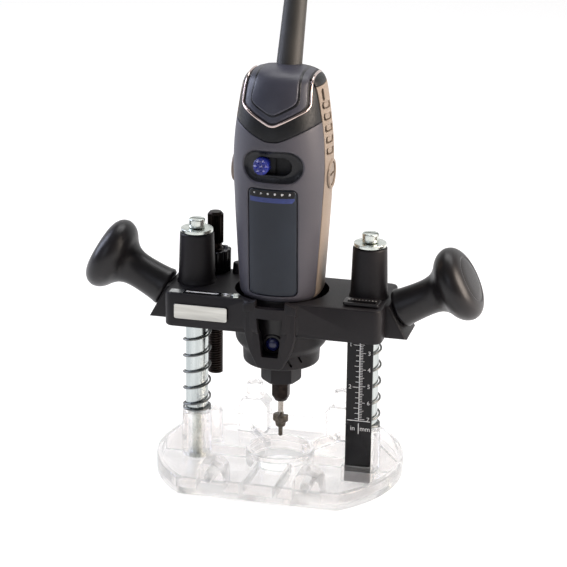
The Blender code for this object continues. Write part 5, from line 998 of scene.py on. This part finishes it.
def split(bm, outline, lay):
    """Cuts a surface along a convex outline in a view and gives the faces inside it."""
    look, turn = lay.inverted(), lay.to_3x3()
    points = [Vector(point) for point in outline]
    margin = 3 * MM

    def near(faces, points):
        low, high = ([pick(point[i] for point in points) for i in (0, 1)] for pick in (min, max))
        found = set()
        for face in faces:
            at = look @ face.calc_center_median()
            if at.z > 0 and all(low[i] - margin < at[i] < high[i] + margin for i in (0, 1)):
                found.add(face)
        return found

    faces = near(bm.faces, points)
    sides = []
    for start, end in zip(points, points[1:] + points[:1]):
        out = outward(start, end)
        sides.append((start, out))
        close = near(faces, (start, end))
        parts = close | {part for face in close for part in (*face.edges, *face.verts)}
        place, way = lay @ Vector((*start, 0)), turn @ Vector((*out, 0))
        made = bmesh.ops.bisect_plane(bm, geom=list(parts), dist=5e-6, plane_co=place, plane_no=way)
        faces -= close
        faces |= {part for part in made["geom"] if isinstance(part, bmesh.types.BMFace) and part.is_valid}
    inside = []
    for face in faces:
        at = (look @ face.calc_center_median()).xy
        if all((at - start).dot(out) < 0 for start, out in sides):
            inside.append(face)
    return inside


def pierced(bm, lip, *holes):
    """Opens holes, each an outline in a view, in a surface, with a line a lip's width round them."""
    for outline, lay in holes:
        split(bm, grown(outline, lip), lay)
        bmesh.ops.delete(bm, geom=split(bm, outline, lay), context="FACES")
    return bm


def walled(bm, wall, lip):
    """A surface as a closed wall, its outer edges turned in by a lip."""
    rim = list({vert for edge in open_edges(bm) for vert in edge.verts})
    bmesh.ops.remove_doubles(bm, verts=rim, dist=0.01 * MM)
    out = bm.verts.layers.float_vector["out"]
    sink = {}
    for edge in open_edges(bm):
        start, end = (vert.co for vert in edge.verts)
        for vert in {vert for face in edge.link_faces for vert in face.verts}:
            _, along = intersect_point_line(vert.co, start, end)
            away = (vert.co - start.lerp(end, min(max(along, 0), 1))).length
            sink[vert] = max(sink.get(vert, 0), lip - away)
    for vert, depth in sink.items():
        vert.co -= vert[out] * depth * 0.8
    inner = bmesh.ops.extrude_face_region(bm, geom=bm.faces[:])["geom"]
    for vert in verts_of(inner):
        vert.co -= vert[out] * wall
    bm.verts.layers.float_vector.remove(out)
    return tidied(bm)


def kept(bm, outline, lay, lip):
    """The faces inside an outline, with a line a lip's width within it."""
    split(bm, grown(outline, -lip), lay)
    return set(split(bm, outline, lay))


def cropped(bm, inside):
    """A surface with only these faces left."""
    bmesh.ops.delete(bm, geom=[face for face in bm.faces if face not in inside], context="FACES")
    return bm


def patch(outline, outset, wall, lip, lay=FROM_FRONT, way=1, over=None):
    """A piece of the housing's skin inside a convex outline in a view; it may run on over the roof."""
    bm = seamed(lip, outset, 0 if over else way)
    inside = set()
    if over:
        inside = {face for face in kept(bm, over, FROM_ABOVE, lip) if face.calc_center_median().y > 0}
    return walled(cropped(bm, inside | kept(bm, outline, lay, lip)), wall, lip)


def mirrored(half):
    """A right half from the top down, closed by its left half: counter-clockwise in the front view."""
    return [(-x, z) for x, z in half] + half[::-1]


def shield_line(grow):
    """The shield cap's right half from the roof to its round tip, grown outwards."""
    drop = (SHIELD_BEND_Z - SHIELD_TIP_Z) / SHIELD_HALF
    bend_z = SHIELD_BEND_Z - grow * (math.sqrt(1 + drop * drop) - drop)
    bend = SHIELD_HALF + grow
    line = [(SHIELD_TOP_HALF + grow, OVER_ROOF), (bend, bend_z), (0, bend_z - drop * bend), (-bend, bend_z)]
    line = eased(line, 3.2 * MM, steps=5)
    return [(x, z) for x, z in line if x > 1e-6]


def band_line(grow):
    """The dark band's lower edge, right half, under everything above it."""
    drop = (BAND_END_Z - BAND_TIP_Z) / BAND_END
    far, tip = 40 * MM, BAND_TIP_Z - grow
    line = eased([(far, tip + drop * far), (0, tip), (-far, tip + drop * far)], 7 * MM, steps=6)
    return [(far, OVER_ROOF), *[(x, z) for x, z in line if x > 1e-6]]


def panel_line(grow):
    """The panel's round-cornered outline, grown outwards."""
    width, height = PANEL_WIDTH + 2 * grow, PANEL_TOP - PANEL_BOTTOM + 2 * grow
    return rounded((0, (PANEL_TOP + PANEL_BOTTOM) / 2), width, height, 3 * MM + grow)


def scooped(bm):
    """Presses the switch's dished recess into the front."""
    for vert in bm.verts:
        beyond = max(abs(vert.co.x) - (RECESS_LENGTH - RECESS_HEIGHT) / 2, 0)
        inside = RECESS_HEIGHT / 2 - math.hypot(beyond, vert.co.z - SWITCH_Z)
        vert.co.y += RECESS_DEPTH * easing(inside / (3.4 * MM))
    return bm


def pill(length, height):
    """A round-ended outline about the switch."""
    return rounded((0, SWITCH_Z), length, height, height / 2 - 0.01 * MM, 8), FROM_FRONT


def front_shell():
    """Front half of the housing, with a dark dish let into it for the switch; the dish's dark is partly
    painted shade of its recess.
    """
    dish = pill(RECESS_LENGTH - 2.2 * MM, RECESS_HEIGHT - 2.2 * MM)
    holes = [(mirrored(band_line(GAP)), FROM_FRONT), (panel_line(GAP), FROM_FRONT), dish]
    form = walled(scooped(pierced(seamed(LIP), LIP, *holes)), FRONT_WALL, LIP)
    settle("front_shell", form, SLATE_ABS, "carriage", ["front_housing"], CRISP_SKIN)
    # The dish: near black, partly painted shade of the deep recess round the slot
    lip = 0.2 * MM
    form = seamed(lip)
    form = pierced(cropped(form, kept(form, *dish, lip)), lip, pill(SLOT_LENGTH, SLOT_HEIGHT))
    form = walled(scooped(form), FRONT_WALL, lip)
    settle("switch_dish", form, DISH_AND_PAINTED_SHADOW_ABS, "carriage", sharp=CRISP_SKIN)


def roofed(half):
    """How far a piece of this half width runs back over the roof, from above."""
    return [(-half, -4 * MM), (half, -4 * MM), (half, ROOF_END), (-half, ROOF_END)]


def shield_cap():
    """Band of grained elastomer, the cap over it, a dark ring of painted shadow round its middle, and the
    middle, which stands out towards its point.
    """
    band = patch(mirrored(band_line(0)), -0.35 * MM, 2.0 * MM, LIP)
    settle("grained_band", band, BAND_ELASTOMER, "carriage", ["end_band"], CRISP_SKIN)
    form = sliced(seamed(LIP, -0.1 * MM, -1), (0, 0, ROOF_Z + GAP / 2), (0, 0, -1), LIP)
    form = walled(pierced(form, LIP, RELIEF_HOLE), 2.0 * MM, LIP)
    settle("band_roof", form, BAND_ELASTOMER, "carriage", sharp=CRISP_SKIN)
    half = SHIELD_TOP_HALF + 0.2 * MM
    cap = patch(mirrored(shield_line(0)), 0.2 * MM, 2.4 * MM, 0.7 * MM, over=roofed(half))
    settle("shield_cap", cap, CAP_LACQUER, "carriage", ["end_cap"], CRISP_SKIN)
    half -= SHIELD_INSET
    # A dark ring set on the cap just below the middle's edge: painted shadow under the raised middle
    shadow_ring = mirrored([(x, z - 0.6 * MM) for x, z in shield_line(1.0 * MM - SHIELD_INSET)])
    shadow_ring = patch(shadow_ring, 0.28 * MM, 0.8 * MM, 0.1 * MM, over=roofed(half + 1.0 * MM))
    settle("shield_painted_shadow", shadow_ring, DISH_AND_PAINTED_SHADOW_ABS, "carriage")

    def lift(z):
        return 0.5 * MM + 1.9 * MM * easing((236 * MM - z) / (18 * MM))

    middle = patch(mirrored(shield_line(-SHIELD_INSET)), lift, 3.0 * MM, 0.6 * MM, over=roofed(half))
    settle("shield_middle", middle, CAP_LACQUER, "carriage", sharp=CRISP_SKIN)


def trim():
    """A bright bead bent round the cap's edge and over the roof, lying on the housing."""
    right = shield_line(1.3 * MM)
    start = SHIELD_TOP_HALF + 1.7 * MM
    places = [skin_at(FROM_ABOVE, start, y * MM) for y in range(round(ROOF_END / MM), -10, -1)]
    for (x0, z0), (x1, z1) in zip(right, right[1:] + [(0, 2 * right[-1][1] - right[-2][1])]):
        count = max(1, round(math.hypot(x1 - x0, z1 - z0) / (0.8 * MM)))
        for t in (k / count for k in range(count)):
            z = z0 + (z1 - z0) * t
            if z < 234 * MM:
                places.append(skin_at(FROM_FRONT, x0 + (x1 - x0) * t, z))
    places = [pair for pair in places if pair[0]]
    places += [(place * FLIP, out * FLIP) for place, out in places[::-1]]
    bm = bmesh.new()
    below = []
    for i, (place, out) in enumerate(places):
        along = places[min(i + 1, len(places) - 1)][0] - places[max(i - 1, 0)][0]
        across = along.cross(out).normalized()
        rise = across.cross(along).normalized()
        turn = Matrix((across * TRIM_HALF, rise * TRIM_PROUD, along.normalized())).transposed().to_4x4()
        lay = Matrix.Translation(place) @ turn
        ring = bmesh.ops.create_circle(bm, segments=14, radius=1.0, matrix=lay)["verts"]
        below = bridged(bm, below, ring)
    bmesh.ops.holes_fill(bm, edges=open_edges(bm), sides=0)
    settle("trim_bead", tidied(bm), CHROME, "carriage", ["trim_strip"], CRISP_WIRE)


def panel():
    """Slate panel over a black gasket, with a dark strip of marks and a blue stripe at its top."""
    gasket = patch(panel_line(1.2 * MM), -1.5 * MM, 0.8 * MM, 0.1 * MM)
    settle("panel_gasket", gasket, DARK_INSIDE, "carriage")
    plate = patch(panel_line(-0.35 * MM), -0.15 * MM, 1.0 * MM, 0.25 * MM)
    settle("panel_plate", plate, PANEL_PAINT, "carriage", ["front_panel"], CRISP_SKIN)
    half = PANEL_WIDTH / 2 - 1.3 * MM
    strip = rounded((0, 173.4 * MM), 2 * half, 3.8 * MM, 1.2 * MM)
    strip = patch(strip, -0.02 * MM, 0.3 * MM, 0.05 * MM)
    settle("panel_strip", strip, SCALE_LACQUER, "carriage")
    low, high = 168.4 * MM, 171.2 * MM
    stripe = [(-half, low), (half - 1.5 * MM, low), (half, 170 * MM), (half, high), (-half, high)]
    stripe = patch(stripe, -0.03 * MM, 0.3 * MM, 0.05 * MM)
    settle("panel_stripe", stripe, BLUE_INK, "carriage")
    dots = []
    for i in range(6):
        x, z = (i * 4 - 10) * MM, 173.6 * MM
        y = skin_at(FROM_FRONT, x, z)[0].y
        dots.append(bar((0.45 + 0.06 * i) * MM, (x, y + 0.2 * MM, z), (x, y - 0.06 * MM, z), 14))
    settle("panel_dots", grouped(*dots), WHITE_INK, "carriage")


def slider():
    """Blue thumb slide with pyramids on its face, the black plate behind it, and dark wings beside the switch
    that keep the slot black as painted shade.
    """
    face = -28.3 * MM
    outline = rounded((SWITCH_X, SWITCH_Z), 8.4 * MM, 9.8 * MM, 4.1 * MM, 8)
    form = slab(outline, face, -21 * MM, "Y", 0.7 * MM)
    studs, root, tip = [], Vector((0, 0.5 * MM, 0)), Vector((0, 1.1 * MM, 0))
    for across, up in ((-2.7, 0), (0, 0), (2.7, 0), (-1.35, 2.7), (1.35, 2.7), (-1.35, -2.7), (1.35, -2.7)):
        at = Vector((SWITCH_X + across * MM, face, SWITCH_Z + up * MM))
        studs.append(bar(1.9 * MM, at + root, at - tip, 4, 0.15 * MM))
    form = carved(form, "UNION", *studs)
    settle("thumb_slide", form, BLUE_ABS, "switch", ["switch_slider"], 20)

    def upright(left, right, front, back, half, edges):
        return block((left, front, SWITCH_Z - half), (right, back, SWITCH_Z + half), edges)

    reach = 7 * MM
    plate = upright(SWITCH_X - reach, SWITCH_X + reach, -21.8 * MM, -20.4 * MM, 6.5 * MM, 0.4 * MM)
    settle("slide_plate", plate, DARK_INSIDE, "switch")
    # Dark wings either side of the switch module, shutting light out of the slot: painted shade of the
    # housing's inside
    wings = []
    for side, _ in SIDES:
        ends = sorted((side * 9.2 * MM, side * 18.5 * MM))
        wings.append(upright(*ends, -20.1 * MM, -19.5 * MM, 8 * MM, 0.15 * MM))
    settle("slot_shade_wings", grouped(*wings), DARK_INSIDE, "carriage")


def louvre(i, shift, length, height):
    """One slanted outline of the cooling field, seen from the right."""
    middle = Vector((-0.8 * MM, (193.6 + 6.5 * i) * MM))
    outline = rounded((shift, 0), length, height, height / 2 - 0.05 * MM, 4)
    return [tuple(middle + VENT_TURN @ Vector(point)) for point in outline]


def twinned(bm):
    """A right half joined to its mirror image."""
    made = bmesh.ops.mirror(bm, geom=everything(bm), axis="X", merge_dist=1e-6)["geom"]
    out = bm.verts.layers.float_vector.get("out")
    for vert in verts_of(made) if out else ():
        if vert.co.x < 0:
            vert[out] = vert[out] * FLIP
    return bm


def rear_shell():
    """Rear half of the housing: louvres, brush windows, screw wells and the hole for the cable sleeve."""
    lay = FROM_SIDES[1]
    holes, slats, wells = [RELIEF_HOLE], [], []
    for i in range(5):
        holes.append((louvre(i, 0, 16.5 * MM, 3.9 * MM), lay))
        slat = louvre(i, 2.2 * MM, 11.2 * MM, 3.3 * MM)
        slats.append(patch(slat, -0.9 * MM, 0.8 * MM, 0.25 * MM, lay, -1))
    holes.append((rounded((-5.6 * MM, 226.2 * MM), 3.2 * MM, 7 * MM, 1.5 * MM), lay))
    holes.append(([*arc((0, BRUSH_Z), BRUSH_HOLE, 0, 345, 23)], lay))
    well = [(3.0, 5), (3.0, 25.5), (3.7, 25.5), (3.7, -11), (1.7, -11), (1.7, 5)]
    for z in SCREW_HEIGHTS:
        holes.append(([*arc((-SCREW_X, z), 3.0 * MM, 0, 345, 23)], FROM_REAR))
        wells.append(lathe(mm(well), 40, Matrix.Translation((SCREW_X, 0, z)) @ Y_UP))
    form = sliced(seamed(LIP, way=-1), (0, 0, ROOF_Z - GAP / 2), (0, 0, 1), LIP)
    form = pierced(sliced(form, (0, 0, 0), (-1, 0, 0), 0), LIP, *holes)
    form = walled(twinned(form), REAR_WALL, LIP)
    settle("rear_shell", form, WARM_ABS, "carriage", ["rear_housing"], CRISP_SKIN)
    slats, wells = (tidied(twinned(grouped(*forms))) for forms in (slats, wells))
    settle("louvre_slats", slats, WARM_ABS, "carriage", sharp=CRISP_SKIN)
    settle("screw_wells", wells, WARM_ABS, "carriage")


def brush_caps():
    """Raised rim and slotted cap over each carbon brush."""
    half, reach = 0.7 * MM, 4.6 * MM
    for side, word in SIDES:
        lay = Matrix.Translation((0, 0, BRUSH_Z)) @ Matrix.Rotation(side * math.pi / 2, 4, "Y")
        line = [(6.75, -2), (6.75, 0.5), (7.1, 0.8), (8.1, 0.8), (8.7, 0.1), (8.7, -2)]
        rim = lathe([(r * MM, BRUSH_FACE + out * MM) for r, out in line], 64, lay)
        settle(f"{word}_brush_rim", rim, WARM_ABS, "carriage")
        line = [(0, -2.6), (6.4, -2.6), (6.4, -0.3), (5.9, 0.2), (0, 0.35)]
        cap = lathe([(r * MM, BRUSH_FACE + out * MM) for r, out in line], 56, lay)
        ends = sorted((side * (BRUSH_FACE - 1.1 * MM), side * (BRUSH_FACE + 2 * MM)))
        slot = block((ends[0], -reach, BRUSH_Z - half), (ends[1], reach, BRUSH_Z + half))
        cap = carved(cap, "DIFFERENCE", slot)
        settle(f"{word}_brush_plug", cap, CAP_ABS, "carriage", [f"{word}_brush_cap"])


def strain_relief():
    """Tapered cable sleeve with a bead at its mouth and a flange inside the housing."""
    line = [
        (2.7, 66), (5.5, 66), (5.95, 65.4), (6.25, 64.6), (5.95, 63.6), (5.95, 62), (6.6, 36), (7.2, 6),
        (7.2, -3.4), (9.0, -3.4), (9.0, -5.6), (2.7, -5.6),
    ]
    form = turned(line, 0.4 * MM, 64, RELIEF_LAY, closed=True)
    settle("cable_sleeve", form, RELIEF_PVC, "carriage", ["strain_relief"])


# Parts left as the frame has them

KEPT = {
    "guide_bush": BRONZE, "handle_stud": ZINC, "lock_stud": ZINC, "bearing": ZINC_TURNED,
    "armature": LAMINATIONS, "motor_field": LAMINATIONS, "commutator": COPPER, "cooling_fan": IVORY_NYLON,
    "brush_holder": IVORY_NYLON, "switch_module": DARK_INSIDE, "circuit_board": BOARD,
    "housing_screw": BLACK_OXIDE, "collet": TOOL_STEEL, "brush": CARBON,
}


def finish_kept():
    """Gives each of these parts the finish that the end of its name calls for."""
    for name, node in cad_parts.items():
        for word, finish in KEPT.items():
            if name.endswith(word):
                node.data.materials.clear()
                node.data.materials.append(finish)
                break


# Camera, light and floor

VIEW_AROUND, VIEW_ABOVE, VIEW_LEAN = (math.radians(angle) for angle in (13.693, 18.686, 0.7214))
VIEW_AIM, VIEW_AWAY, VIEW_LENS = (0.00072, 0, 0.11263), 1.29641, 144.227
PAPER_SIZE, PAPER_SHIFT, PAPER_DROP, SWEEP_HEIGHT = 8.0, -3.0, -0.0004, 4.0
PAPER_GLOW, ROOM_LIGHT = 0.8, 0.17


def camera():
    """The photo's view: around the object, from above it and leaning a little."""
    around, above, lean = VIEW_AROUND, VIEW_ABOVE, VIEW_LEAN
    back = Vector((math.sin(around) * math.cos(above), -math.cos(around) * math.cos(above), math.sin(above)))
    level = Vector((math.cos(around), math.sin(around), 0))
    rise = back.cross(level)
    right = level * math.cos(lean) + rise * math.sin(lean)
    up = rise * math.cos(lean) - level * math.sin(lean)
    place = Vector(VIEW_AIM) + back * VIEW_AWAY
    view = bpy.data.cameras.new("photo_view")
    view.lens = VIEW_LENS
    made = bpy.data.objects.new("photo_view", view)
    made.matrix_world = Matrix.Translation(place) @ Matrix((right, up, back)).transposed().to_4x4()
    SCENE.collection.objects.link(made)
    SCENE.camera = made


def lamp(name, place, aim, size, power, shade):
    """A rectangular softbox turned towards a point."""
    light = bpy.data.lights.new(name, "AREA")
    light.shape = "RECTANGLE"
    light.size, light.size_y = size
    light.energy = power
    light.color = linear(shade)[:3]
    made = bpy.data.objects.new(name, light)
    made.location = place
    made.rotation_euler = (Vector(aim) - Vector(place)).to_track_quat("-Z", "Y").to_euler()
    SCENE.collection.objects.link(made)


def seen(tree):
    """1 for rays that show the background: from the camera, in a reflection or through the clear base."""
    path = add(tree, "ShaderNodeLightPath").outputs
    any_ray = path["Is Camera Ray"]
    for kind in ("Is Glossy Ray", "Is Transmission Ray"):
        rays = {0: any_ray, 1: path[kind]}
        any_ray = add(tree, "ShaderNodeMath", rays, operation="MAXIMUM").outputs[0]
    return any_ray


def studio():
    """A dim white room, a sheet of white paper that sweeps up behind the object, and four softboxes."""
    world = bpy.data.worlds.new("white_studio")
    world.use_nodes = True
    SCENE.world = world
    tree = world.node_tree
    tree.nodes.clear()
    dim = add(tree, "ShaderNodeBackground", {"Color": linear("#ffffff"), "Strength": ROOM_LIGHT})
    add(tree, "ShaderNodeOutputWorld", {"Surface": dim.outputs[0]})
    paper = bpy.data.materials.new("white_paper_floor")
    paper.use_nodes = True
    tree = paper.node_tree
    tree.nodes.clear()
    plain = add(tree, "ShaderNodeBsdfDiffuse", {"Color": linear("#eeeeee")})
    part = add(tree, "ShaderNodeBsdfDiffuse", {"Color": linear("#a0a0a0")})
    glow = add(tree, "ShaderNodeEmission", {"Color": linear("#ffffff"), "Strength": PAPER_GLOW})
    lit = add(tree, "ShaderNodeAddShader", {0: part.outputs[0], 1: glow.outputs[0]})
    mixed = {"Fac": seen(tree), 1: plain.outputs[0], 2: lit.outputs[0]}
    mix = add(tree, "ShaderNodeMixShader", mixed)
    add(tree, "ShaderNodeOutputMaterial", {"Surface": mix.outputs[0]})
    bm = bmesh.new()
    bmesh.ops.create_grid(bm, x_segments=1, y_segments=1, size=PAPER_SIZE)
    bmesh.ops.translate(bm, vec=(0, PAPER_SHIFT, PAPER_DROP), verts=bm.verts)
    rear = [edge for edge in bm.edges if all(vert.co.y > 0 for vert in edge.verts)]
    sweep = bmesh.ops.extrude_edge_only(bm, edges=rear)["geom"]
    bmesh.ops.translate(bm, vec=UP * SWEEP_HEIGHT, verts=verts_of(sweep))
    mesh = bpy.data.meshes.new("paper_floor")
    bm.to_mesh(mesh)
    bm.free()
    mesh.materials.append(paper)
    floor = bpy.data.objects.new("paper_floor", mesh)
    SCENE.collection.objects.link(floor)
    lamp("front_softbox", (-0.5, -1.5, 0.9), (0, 0, 0.13), (0.9, 0.9), 3.0, "#e8eeff")
    lamp("left_softbox", (-1.1, 0.15, 0.75), (0, 0, 0.15), (0.6, 1.0), 13.0, "#e2e8ff")
    lamp("right_softbox", (1.1, 0.0, 0.6), (0, 0, 0.15), (0.6, 1.0), 23.0, "#fff0e2")
    lamp("top_softbox", (0.1, 0.6, 1.3), (0, 0, 0.12), (1.0, 0.6), 7.0, "#ffffff")
    SCENE.view_settings.view_transform = "Standard"


camera()
studio()
base_plate()
columns()
springs()
depth_scale()
carriage()
badge()
arm_decal()
scale_pointer()
handle(-1, "left_handle", "twist_handle", "lock_handle")
handle(1, "right_knob", "carriage", "right_handle")
stop_rod()
stop_nut()
nose()
lock_button()
clamp_nut()
collet_nut()
cutter()
front_shell()
shield_cap()
trim()
panel()
slider()
rear_shell()
brush_caps()
strain_relief()
finish_kept()
